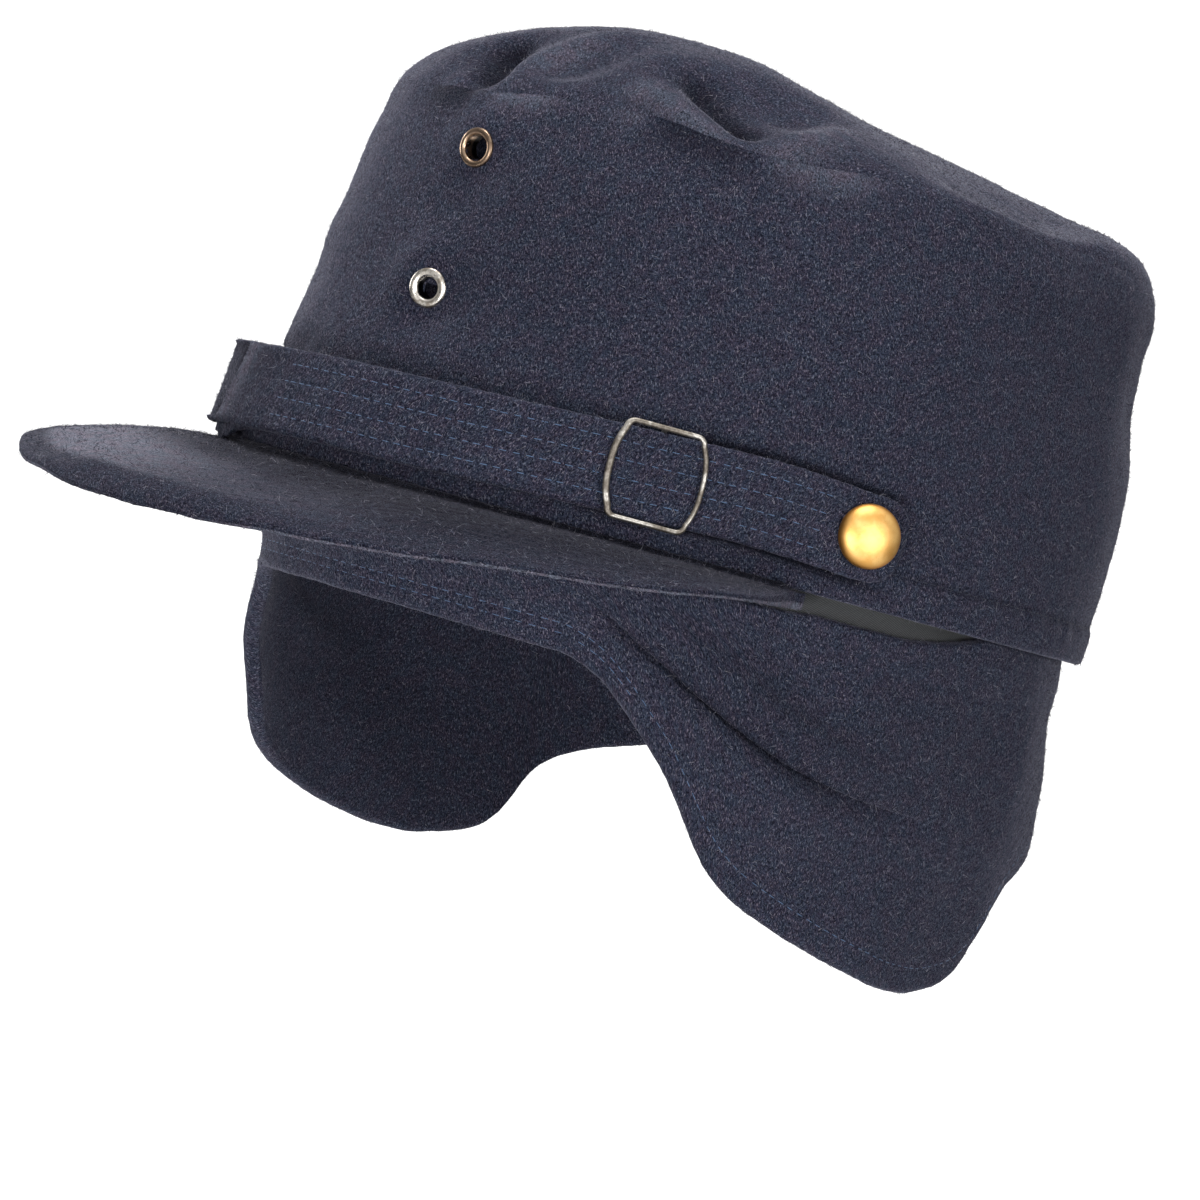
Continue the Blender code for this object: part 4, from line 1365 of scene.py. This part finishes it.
def build_peak(material):
    """The section runs from the seat on the curtain's band along the top, round the edge and back below."""
    shares = np.linspace(1.0, -1.0, 360)
    turn = np.abs(shares)
    trim = 1 - 0.034 * ease(1 - turn, 0.0, 0.6)
    reach = PEAK_LENGTH * smooth(PEAK_ROWS, "share", "overhang", turn) * trim
    outs = 1 - (1 - np.linspace(0, 1, 80)[:, None]) ** 1.15
    face, rounded = (smooth(PEAK_FACE, "share", name, turn) for name in ("depth", "round"))
    top = peak_point(shares, outs * trim)
    top[..., 2] = -GAP - (-GAP - top[..., 2]) * outs ** (0.7 * rounded)
    seat = stack(*oval(shares * PEAK_HALF_SPAN, *reaches(CURTAIN_ROWS, "drop", 0.0, CURTAIN_WALL)), -GAP)
    between = [seat * (1 - s) + top[0] * s for s in np.linspace(0, 1, 9)[:-1]]
    inside = len(between)
    top = np.concatenate([np.array(between), top], axis=0)
    out = np.concatenate([np.zeros((inside, len(shares))), outs * reach], axis=0)
    full = np.clip(reach / PEAK_FULL, 0, 1)
    width = PEAK_TURN + (np.maximum(reach, PEAK_TURN) - PEAK_TURN) * rounded
    down = np.clip(1 - (reach - out) / width, 0, 1)
    sharp = 1 - np.sqrt(np.maximum(1 - down**2.2, 0.0))
    bend = sharp * (1 - 0.75 * rounded) + down**2 * 0.75 * rounded
    under = top.copy()
    top[..., 2] -= (face - PEAK_LIP) * bend * full
    top[..., 2] += 0.0011 * bell(out, 0.0016, 0.0013) * ease(out, 0.0, 0.0007) * ease(full, 0.05, 0.3)
    slow = ripples(top, PEAK_WAVES) * ease(out, 0.0, 0.012) * full
    top[..., 2] += slow
    under[..., 2] += slow
    under[..., 2] -= PEAK_WALL + (face - PEAK_WALL) * ease(down, 0.0, 1.0) * full
    outward = top[-1] - top[-3]
    outward[..., 2] = 0
    outward = unit(outward)
    edge = [
        top[-1] * (1 - share) + under[-1] * share + outward * bulge * np.clip(reach / 0.003, 0, 1)[:, None]
        for share, bulge in PEAK_EDGE
    ]
    rows = np.concatenate([top, np.array(edge), under[::-1][::3], under[:1]], axis=0)
    rows = napped(rows, False, 53)
    uv = section_uv(rows, arc_length(top[-1:], 1)[0])
    made = grid_mesh("peak_cloth", rows, uv, False, material, loop_rows=True)

    # Painted highlight on the edge's lower roll away from the front and on the top towards the wearer's right;
    # painted shadow of the strap on the top along the crown, reaching further out on the wearer's left
    painted_highlight, deep = np.zeros((2,) + rows.shape[:2])
    painted_highlight[len(top) + 4 : len(top) + 9] = 0.60 * ease(turn, 0.10, 0.25)
    along = 0.12 * ease(-shares, -0.42, -0.25) + 0.92 * ease(-shares, -0.12, 0.30)
    flat = ease(reach - out[inside:], 0.0040, 0.0075)
    painted_highlight[inside : len(top)] = along * ease(outs, 0.22, 0.55) * flat
    shaded = np.concatenate([np.zeros((inside, 1)), outs])
    wide = ease(shares, -0.05, 0.45)
    deep[: len(top)] = 0.88 - 0.88 * ease(shaded, 0.17 + 0.21 * wide, 0.64 + 0.48 * wide)
    mark(made.data, worn=painted_highlight, deep=deep)
    keep_rows("peak", rows, len(top) + len(edge) + 6, 0.6)
    close_ends(made, rows.shape)
    return dress(made, "peak")


def close_ends(made, shape):
    """Closes the two open end sections of a strip whose rows run round its section."""
    rows, columns = shape[:2]
    with editing(made) as bm:
        layer = bm.loops.layers.uv.active
        for column, way in ((0, 1), (columns - 1, -1)):
            ring = [bm.verts[r * columns + column] for r in range(rows)][::way]
            for i, loop in enumerate(bm.faces.new(ring).loops):
                loop[layer].uv = (0.0004 * i, 0.0)
        bmesh.ops.triangulate(bm, faces=[f for f in bm.faces if len(f.verts) > 4])
        bmesh.ops.recalc_face_normals(bm, faces=bm.faces)


# Strap and stitches


STITCH_ROWS = (-0.355, -0.118, 0.118, 0.355)
STRAP_WAVES = ((0.034, 0.00028, 61), (0.013, 0.00010, 64))
# Where the outer layer bends sharply beside the front, in degrees, and where it swells next to that
STRAP_BEND = -24.8
STRAP_SWELL = -20.5
STITCH_GROOVE = 0.00010


def strap_width(along, tips):
    """Width of the strap as a share, less at its rounded tips."""
    width = np.ones(len(along))
    for at_start in tips:
        distance = along if at_start else along[-1] - along
        left = np.clip(1 - distance / STRAP_TIP, 0, 1)
        width = np.minimum(width, 0.35 + 0.65 * np.sqrt(1 - left * left))
    return width


def build_strap(node, start, end, behind, tips, material):
    """One layer of the strap. tips says at which ends it is rounded, True for the start."""
    angles = np.linspace(start, end, 340)
    along = arc_length(strap_point(angles, 0.0, behind), 0)
    width = strap_width(along, tips)
    across = np.linspace(-0.5, 0.5, 38)[:, None]
    count = len(across)
    points = strap_point(angles, across * width * ((STRAP_WIDTH - STRAP_WALL * 0.9) / STRAP_WIDTH), behind)
    points = raised(points, grid_normals(points, False), ripples(points, STRAP_WAVES) * ease(width, 0.5, 1.0))
    normals = grid_normals(points, False)
    rows = shell_rows(points, normals, STRAP_WALL, 3, arc=6)
    uneven = 1 + 0.6 * ripple(points, 0.008, 65)
    shape = sum(-STITCH_GROOVE * bell(across, share, 0.026) * uneven for share in STITCH_ROWS)
    outer = node == "strap_outer"
    if outer:
        turn = angles - 2.5 * across
        before = 1 - ease(turn, -26.4, -24.6)
        shape -= 0.0011 * bell(turn, STRAP_BEND, 0.90) + 0.0008 * before * ease(turn, -46, -34)
        shape += 0.0006 * bell(turn, STRAP_SWELL, 2.8)
    rows[:count] = raised(rows[:count], normals, shape)
    rows = napped(rows, False, 62)
    if outer:
        keep_surface("strap", angles, rows[:count], normals)
    else:
        low = np.concatenate([np.linspace(-1, 1, count), np.linspace(1, -1, len(rows) - count)])
        ragged = 0.0044 * bell(angles, -26.0, 5.6) * (1 + 0.16 * ripple(points[0], 0.0050, 66))
        rows[..., 2] -= np.maximum(-low, 0)[:, None] ** 2 * ragged
    made = grid_mesh(node + "_cloth", rows, section_uv(rows, along), False, material, loop_rows=True)
    if outer:
        # Painted highlight on the swell beside the bend; painted shade in the bend, over all of the strap beyond it
        # and over the stretch from the bend towards the front
        painted_highlight, deep = np.zeros((2,) + rows.shape[:2])
        painted_highlight[:count] = 0.50 * bell(turn, -20.8, 2.4)
        deep[:count] = 0.7 * bell(turn, -24.9, 1.2) + 0.45 * before
        deep[:count] += 0.27 * (1 - ease(turn, -18.0, -2.0)) * ease(turn, -24.0, -22.0)
        mark(made.data, worn=painted_highlight, deep=deep)
    close_ends(made, rows.shape)
    keep_rows(node, rows, count + 6, 0.2)
    return dress(made, node)


def traced(name, angles, row):
    """Points and normals along a line on a kept face: row gives the row, in parts, for each angle."""
    columns, points, normals = SURFACES[name]
    at = np.interp(angles, columns, np.arange(len(columns)))
    row = np.clip(row, 0, len(points) - 1.001)
    r, c = np.floor(row).astype(int), np.clip(np.floor(at).astype(int), 0, len(columns) - 2)
    fr, fc = (row - r)[:, None], (at - c)[:, None]
    made = []
    for grid in (points, normals):
        near = grid[r, c] * (1 - fc) + grid[r, c + 1] * fc
        above = grid[r + 1, c] * (1 - fc) + grid[r + 1, c + 1] * fc
        made.append(near * (1 - fr) + above * fr)
    return made


def bake_spots(mesh, count):
    """A UV map of one small spot for each of count like parts, which the export's bake keeps as it is."""
    side = math.ceil(math.sqrt(count))
    corners = len(mesh.loops) // count
    part = np.repeat(np.arange(count), corners)
    turn = 2 * math.pi * np.tile(np.arange(corners), count) / 3
    spot = [part % side + 0.5 + 0.3 * np.cos(turn), part // side + 0.5 + 0.3 * np.sin(turn)]
    layer = mesh.uv_layers.new(name="OFBake")
    layer.data.foreach_set("uv", (np.stack(spot, axis=1) / side).reshape(-1).astype(np.float32))


# From one stitch to the next, a stitch's length, and how far it stands off the cloth
STITCH_PITCH = 0.0029
STITCH_LENGTH = 0.0021
STITCH_LIFT = 0.00005
# Sections of one stitch: the share of its length, and their size
STITCH_SECTIONS = ((-0.5, 0.25), (-0.3, 0.9), (0.3, 0.9), (0.5, 0.25))
STITCH_SIDES = 4


def stitch_faces():
    """The faces of one stitch, sections of four corners each with an end on both sides."""
    last = (len(STITCH_SECTIONS) - 1) * STITCH_SIDES
    faces = []
    for base in range(0, last, STITCH_SIDES):
        for k in range(STITCH_SIDES):
            a, b = base + k, base + (k + 1) % STITCH_SIDES
            faces.append((a, b, b + STITCH_SIDES, a + STITCH_SIDES))
    return np.array(faces + [(3, 2, 1, 0), tuple(last + k for k in range(STITCH_SIDES))])


def stitch_rows(name, paths, material, width):
    """Rows of short raised stitches. Each path is points and normals along a line on the cloth."""
    rng = np.random.default_rng(5)
    made = []
    for points, normals in paths:
        distance = arc_length(points, 0)
        count = int(distance[-1] // STITCH_PITCH)
        shift, long = rng.uniform((-0.12, 0.88), (0.12, 1.08), (count, 2)).T
        long = STITCH_LENGTH * long
        at = np.clip((np.arange(count) + 0.5) * STITCH_PITCH + shift * STITCH_PITCH, long, distance[-1] - long)

        def along(values, where):
            return np.stack([np.interp(where, distance, values[:, k]) for k in range(3)], axis=-1)

        first, last = (along(points, at + share * long) for share in (-0.5, 0.5))
        normal, forward = unit(along(normals, at)), unit(last - first)
        side = np.cross(normal, forward)
        corners = []
        for share, size in STITCH_SECTIONS:
            sink = width * (0.55 * (2 * share) ** 2)
            centre = (first + last) / 2 + forward * long[:, None] * share + normal * (STITCH_LIFT - sink)
            for turn in np.radians(90 * np.arange(STITCH_SIDES) + 45):
                aside, above = math.cos(turn) * width * 0.5 * size, math.sin(turn) * width * 0.42 * size
                corners.append(centre + side * aside + normal * above)
        made.append(np.stack(corners, axis=1))
    return like_parts(name, np.concatenate(made), stitch_faces(), material)


def like_parts(name, corners, faces, material):
    """A piece of many like parts: corners holds the points of each part, and faces are those of one."""
    count, each = corners.shape[:2]
    faces = each * np.arange(count)[:, None, None] + faces
    mesh = faces_mesh(name, corners, faces.reshape(-1, faces.shape[-1]))
    bake_spots(mesh, count)
    mesh.shade_smooth()
    mesh.materials.append(material)
    return dress(in_scene(name, mesh), None)


def round_line(name, heights, at, end):
    """A line on a kept face where its rows' heights reach a value, from -end to end degrees."""
    columns = SURFACES[name][0]
    row = [np.interp(at, heights[:, j], np.arange(len(heights))) for j in range(len(columns))]
    angles = np.linspace(-end, end, 10 * end)
    return traced(name, angles, np.interp(angles, columns, row))


def build_stitches(thread_blue, thread_dull, thread_navy):
    strap_rows = len(SURFACES["strap"][1]) - 1
    strap_paths = []
    for low, high in ((-STRAP_END + 3.5, -36.0), (-9.0, STRAP_END - 11.0)):
        angles = np.linspace(low, high, 700)
        for share in STITCH_ROWS:
            row = np.full(len(angles), (share * 0.98 + 0.5) * strap_rows)
            strap_paths.append(traced("strap", angles, row))
    above_edge = arc_length(SURFACES["curtain"][1], 0) + CURTAIN_WALL * 0.45
    curtain_paths = [round_line("curtain", above_edge, *line) for line in ((0.0062, 179), (0.0040, 46))]
    hem_path = round_line("crown_side", SURFACES["crown_side"][1][..., 2], HEM_STITCHES, 179)
    return (
        stitch_rows("strap_stitches", strap_paths, thread_blue, 0.00026),
        stitch_rows("curtain_stitches", curtain_paths, thread_dull, 0.00025),
        stitch_rows("hem_stitches", [hem_path], thread_navy, 0.00024),
    )


# Loose fibres


# Lengths and thicknesses of the loose fibres, how far round an eyelet they are cut short, and how short
LOOSE_LENGTH = (0.0008, 0.0021)
LOOSE_THICKNESS = (0.000034, 0.000064)
EYELET_CLEAR = 0.0062
LOOSE_SHORT = 0.0002
FIBRE_FACES = np.array([(0, 2, 1), (0, 1, 3), (1, 2, 3), (2, 0, 3)])


def build_fibres(name, rows, share, count, seed, material, closed):
    """Loose fibres of the nap on a cloth's section: thin closed spikes that lie nearly flat, drawn
    evenly over the rows. share is how thickly each row has them."""
    rng = np.random.default_rng(seed)
    normals = grid_normals(rows, closed, True)
    if closed:
        rows, normals = (np.concatenate([g, g[:, :1]], axis=1) for g in (rows, normals))
    a, b, c = rows[:-1, :-1], rows[:-1, 1:], rows[1:, :-1]
    area = np.linalg.norm(np.cross(b - a, c - a), axis=-1) * share[: len(rows) - 1, None]
    chance = np.cumsum(area.reshape(-1))
    cell = np.searchsorted(chance, rng.uniform(0, chance[-1], count))
    r, k = np.divmod(np.minimum(cell, area.size - 1), area.shape[1])
    s, t = rng.uniform(size=(2, count, 1))

    def at(grid):
        low = grid[r, k] * (1 - s) + grid[r, k + 1] * s
        high = grid[r + 1, k] * (1 - s) + grid[r + 1, k + 1] * s
        return low * (1 - t) + high * t

    point, normal = at(rows), unit(at(normals))
    lying = unit(np.cross(normal, rng.normal(size=(count, 3))))
    rise = np.radians(rng.uniform(3, 20, (count, 1)) + 55 * rng.uniform(size=(count, 1)) ** 2.5)
    ahead = lying * np.cos(rise) + normal * np.sin(rise)
    side = np.cross(normal, lying)
    long = rng.uniform(*LOOSE_LENGTH, (count, 1))
    thick = rng.uniform(*LOOSE_THICKNESS, (count, 1))
    for eyelet in EYELETS:
        middle = np.array(eyelet_place(eyelet).translation)
        long[np.linalg.norm(point - middle, axis=1) < EYELET_CLEAR] = LOOSE_SHORT
    foot = point - normal * 0.00002
    corners = [foot + side * thick, foot - side * thick, foot + normal * thick * 1.6, point + ahead * long]
    made = like_parts(name, np.stack(corners, axis=1), FIBRE_FACES, material)
    mark(made.data, tone=np.repeat(rng.uniform(size=count), 4))
    return made


# Metal pieces


def facing(origin, normal):
    z = Vector(normal).normalized()
    x = Vector((0, 0, 1)).cross(z).normalized()
    placed = Matrix((x, z.cross(x), z)).transposed().to_4x4()
    placed.translation = Vector(origin)
    return placed


def strap_frame(angle, lift):
    at = np.array(float(angle))
    normal = normal_on(strap_point, at, 0.0, 0.3)
    return facing(strap_point(at, 0.0) + normal * lift, normal)


def placed_rows(rows, placed):
    flat = np.array(placed.to_3x3()) @ rows.reshape(-1, 3).T
    return flat.T.reshape(rows.shape) + np.array(placed.translation)


def turned(name, profile, count, placed, material, loop=False):
    """A turned piece about its local Z from a profile of (radius, height)."""
    profile = np.array(profile, float)
    radius, height = profile[:, :1], profile[:, 1:]
    turn = np.linspace(0, 2 * math.pi, count, endpoint=False)
    rows = placed_rows(stack(radius * np.cos(turn), radius * np.sin(turn), height), placed)
    made = grid_mesh(name, rows, section_uv(rows, turn * 0.004), True, material, loop_rows=loop)
    with editing(made) as bm:
        bmesh.ops.remove_doubles(bm, verts=bm.verts, dist=0.000004)
        bmesh.ops.recalc_face_normals(bm, faces=bm.faces)
    made.data.set_sharp_from_angle(angle=math.radians(50))
    return made


def curved_profile(points, rounds):
    """Rounds a profile by cutting its corners a few times."""
    points = np.array(points, float)
    for _ in range(rounds):
        made = [points[0]]
        for a, b in zip(points[:-1], points[1:]):
            made += [a * 0.75 + b * 0.25, a * 0.25 + b * 0.75]
        made.append(points[-1])
        points = np.array(made)
    return points


# How far down its circle the button's dome goes and how far each button is turned, in degrees
BUTTON_ARC = 86
BUTTON_TURN = 13
BUTTON_STEPS = 24


def build_button(name, angle, material):
    radius = BUTTON_DIAMETER / 2
    base = BUTTON_STUD + BUTTON_RIM
    profile = []
    for step in range(BUTTON_STEPS + 1):
        turn = math.radians(BUTTON_ARC * step / BUTTON_STEPS)
        wide = radius * math.sin(turn) / math.sin(math.radians(BUTTON_ARC))
        profile.append((wide, base + BUTTON_DOME * math.cos(turn)))
    edge = [
        profile[-1],
        (radius, BUTTON_STUD + BUTTON_RIM * 0.7),
        (radius - 0.00012, BUTTON_STUD + 0.00012),
        (radius - 0.0008, BUTTON_STUD),
        (0.0032, BUTTON_STUD + 0.0001),
        (0.0030, BUTTON_STUD * 0.4),
        (0.0030, 0.0),
    ]
    profile += [*curved_profile(edge, 2)[1:], (0.0, 0.0)]
    placed = strap_frame(angle, GAP)
    middle = placed @ Matrix.Translation((0, 0, BUTTON_STUD))
    turn = Matrix.Rotation(math.radians(-math.copysign(BUTTON_TURN, angle)), 4, "Z")
    turn = Matrix.Translation(middle.translation) @ turn @ Matrix.Translation(-middle.translation)
    return dress(turned(name + "_gilt", profile, 72, turn @ placed, material), name)


# How far an eyelet stands off the cloth and reaches past its solid
EYELET_OVER = 0.0003


def eyelet_place(name):
    at, z = np.array(0.0), np.array(SIDE_HEIGHT - EYELET_DROPS[name])
    lean, turn = (math.tan(math.radians(a)) for a in EYELETS[name][:2])
    normal = side_normal(at, z) + np.array([turn, 0, -lean])
    return facing(side_point(at, z) + normal * EYELET_OVER, normal)


def build_eyelet(name, material):
    inner = EYELETS[name][2] / 2
    outer = EYELET_DIAMETER / 2 + EYELET_OVER
    back = -CROWN_WALL - GAP * 2
    knots = [
        (inner, back - 0.0004),
        (inner, -0.0022),
        (inner + 0.00004, -0.0009),
        (inner + 0.00014, 0.00025),
        (inner + 0.00045, 0.00062),
        (outer - 0.00070, 0.00078),
        (outer - 0.00010, 0.00050),
        (outer, 0.00008),
        (outer - 0.00004, -0.0008),
    ]
    profile = [
        *curved_profile(knots, 2),
        (inner + EYELET_TUBE, -0.0008),
        (inner + EYELET_TUBE, back),
        (outer * 0.94, back),
        (outer * 0.94, back - 0.0005),
        (inner, back - 0.0005),
    ]
    return dress(turned(name + "_ring", profile, 64, eyelet_place(name), material, loop=True), name)


# How far the buckle's sides bow outwards
BUCKLE_BOW = 0.0017


def buckle_outline(half_height):
    """Round the frame: corners and bowed sides, as points in the frame's own plane."""
    points = []
    wide, high = BUCKLE_HALF_WIDTH - BUCKLE_CORNER, half_height - BUCKLE_CORNER
    for x, y, start in ((wide, high, 0), (-wide, high, 90), (-wide, -high, 180), (wide, -high, 270)):
        for step in np.linspace(0, 90, 9):
            turn = math.radians(start + step)
            points.append((x + BUCKLE_CORNER * math.cos(turn), y + BUCKLE_CORNER * math.sin(turn)))
        if start in (90, 270):
            side = math.copysign(1, x)
            for share in np.linspace(0, 1, 22)[1:-1]:
                bow = BUCKLE_BOW * (1 - abs(2 * share - 1) ** 2.6)
                points.append((side * (BUCKLE_HALF_WIDTH + bow), high * (1 - 2 * share) * -side))
    return np.array(points)


def sweep(name, path, widths, heights, closed, placed, material):
    """A wire of oval section along a path in a placement's own plane or space."""
    tangent = unit(steps(path, 0, closed))
    side = unit(np.cross(tangent, (0, 0, 1.0) if closed else (1.0, 0, 0)))
    top = np.cross(side, tangent)
    turn = np.linspace(0, 2 * math.pi, 16, endpoint=False)[:, None]
    wide, high = np.cos(turn) * widths, np.sin(turn) * heights
    rows = placed_rows(raised(raised(path[None], side, wide), top, high), placed)
    uv = section_uv(rows, np.arange(len(path)) * 0.0004)
    made = grid_mesh(name, rows, uv, closed, material, loop_rows=True)
    if not closed:
        close_ends(made, rows.shape)
    return made


def build_buckle(material):
    radius = BUCKLE_WIRE / 2
    half_height = STRAP_WIDTH / 2 + BUCKLE_CLEARANCE + radius
    outline = buckle_outline(half_height)
    apart = np.linalg.norm(np.roll(outline, -1, axis=0) - outline, axis=1)
    outline = outline[apart > 0.00005]
    path = np.concatenate([outline, np.zeros((len(outline), 1))], axis=1)
    left = ease(-path[:, 0], BUCKLE_HALF_WIDTH * 0.82, BUCKLE_HALF_WIDTH * 1.02)
    widths, heights = radius * (0.95 + 0.30 * left), radius * (0.95 + 0.02 * left)
    placed = strap_frame(BUCKLE_ANGLE, radius + GAP)
    ring = sweep("slide_buckle_frame", path, widths, heights, True, placed, material)
    dress(ring, "slide_buckle")
    depth = radius + 2 * GAP + STRAP_WALL + BAR_WIRE / 2
    upper = [(0, half_height, 0), (0, half_height, -depth * 0.8), (0, half_height - depth * 0.2, -depth)]
    bar = curved_profile(upper + [(x, -y, z) for x, y, z in reversed(upper)], 2)
    size = np.full(len(bar), BAR_WIRE / 2)
    dress(sweep("slide_buckle_bar", bar, size, size, False, placed, material), None)


# The whole


build_camera()
build_stage()
crown_side, crown_top = build_crown(wool("wool_melange"))
curtain = build_curtain(wool("wool_curtain", lean=12))
# The peak's wool is a darker copy, light 0.80, as painted shade, and its rim weighs its painted sheen
peak = build_peak(wool("wool_peak", lean=-25, light=0.80, rim=0.30, sheen=0.25))
strap_cloth = wool("wool_strap", lean=30, light=1.04, rim=0.38, sheen=0.20)
strap = build_strap("strap_outer", -STRAP_END, STRAP_END, 0.0, (True, False), strap_cloth)
under_end = BUCKLE_ANGLE - math.degrees((BAR_WIRE / 2 + BAR_CLEARANCE) / HEM_HALF_WIDTH)
under = build_strap("strap_under", -STRAP_END, under_end, STRAP_WALL + GAP, (True,), strap_cloth)
lining = build_lining(twill("twill_grey"))
strap_stitches, curtain_stitches, hem_stitches = build_stitches(
    thread("thread_blue", (0.105, 0.180, 0.320)),
    thread("thread_dull", (0.095, 0.160, 0.285)),
    thread("thread_navy", (0.020, 0.024, 0.045)),
)
build_buckle(tarnished("buckle_worn"))
gold = gilt("button_gilt")
build_button("button_left", BUTTON_ANGLE, gold)
build_button("button_right", -BUTTON_ANGLE, gold)
build_eyelet(
    "eyelet_upper",
    eyelet_metal("eyelet_aged_brass", (0.33, 0.235, 0.165), (0.15, 0.102, 0.072), 0.40, 0.0012),
)
build_eyelet(
    "eyelet_lower",
    eyelet_metal("eyelet_nickel_plate", (0.60, 0.565, 0.515), (0.22, 0.185, 0.145), 0.80, 0.0030),
)

loose = loose_fibre("loose_fibres")
for seed, (name, count) in enumerate(FIBRE_COUNTS.items(), 80):
    closed = name in ("crown_side", "crown_top", "curtain")
    build_fibres(name + "_fibres", *FIBRE_ROWS[name], count, seed, loose, closed)
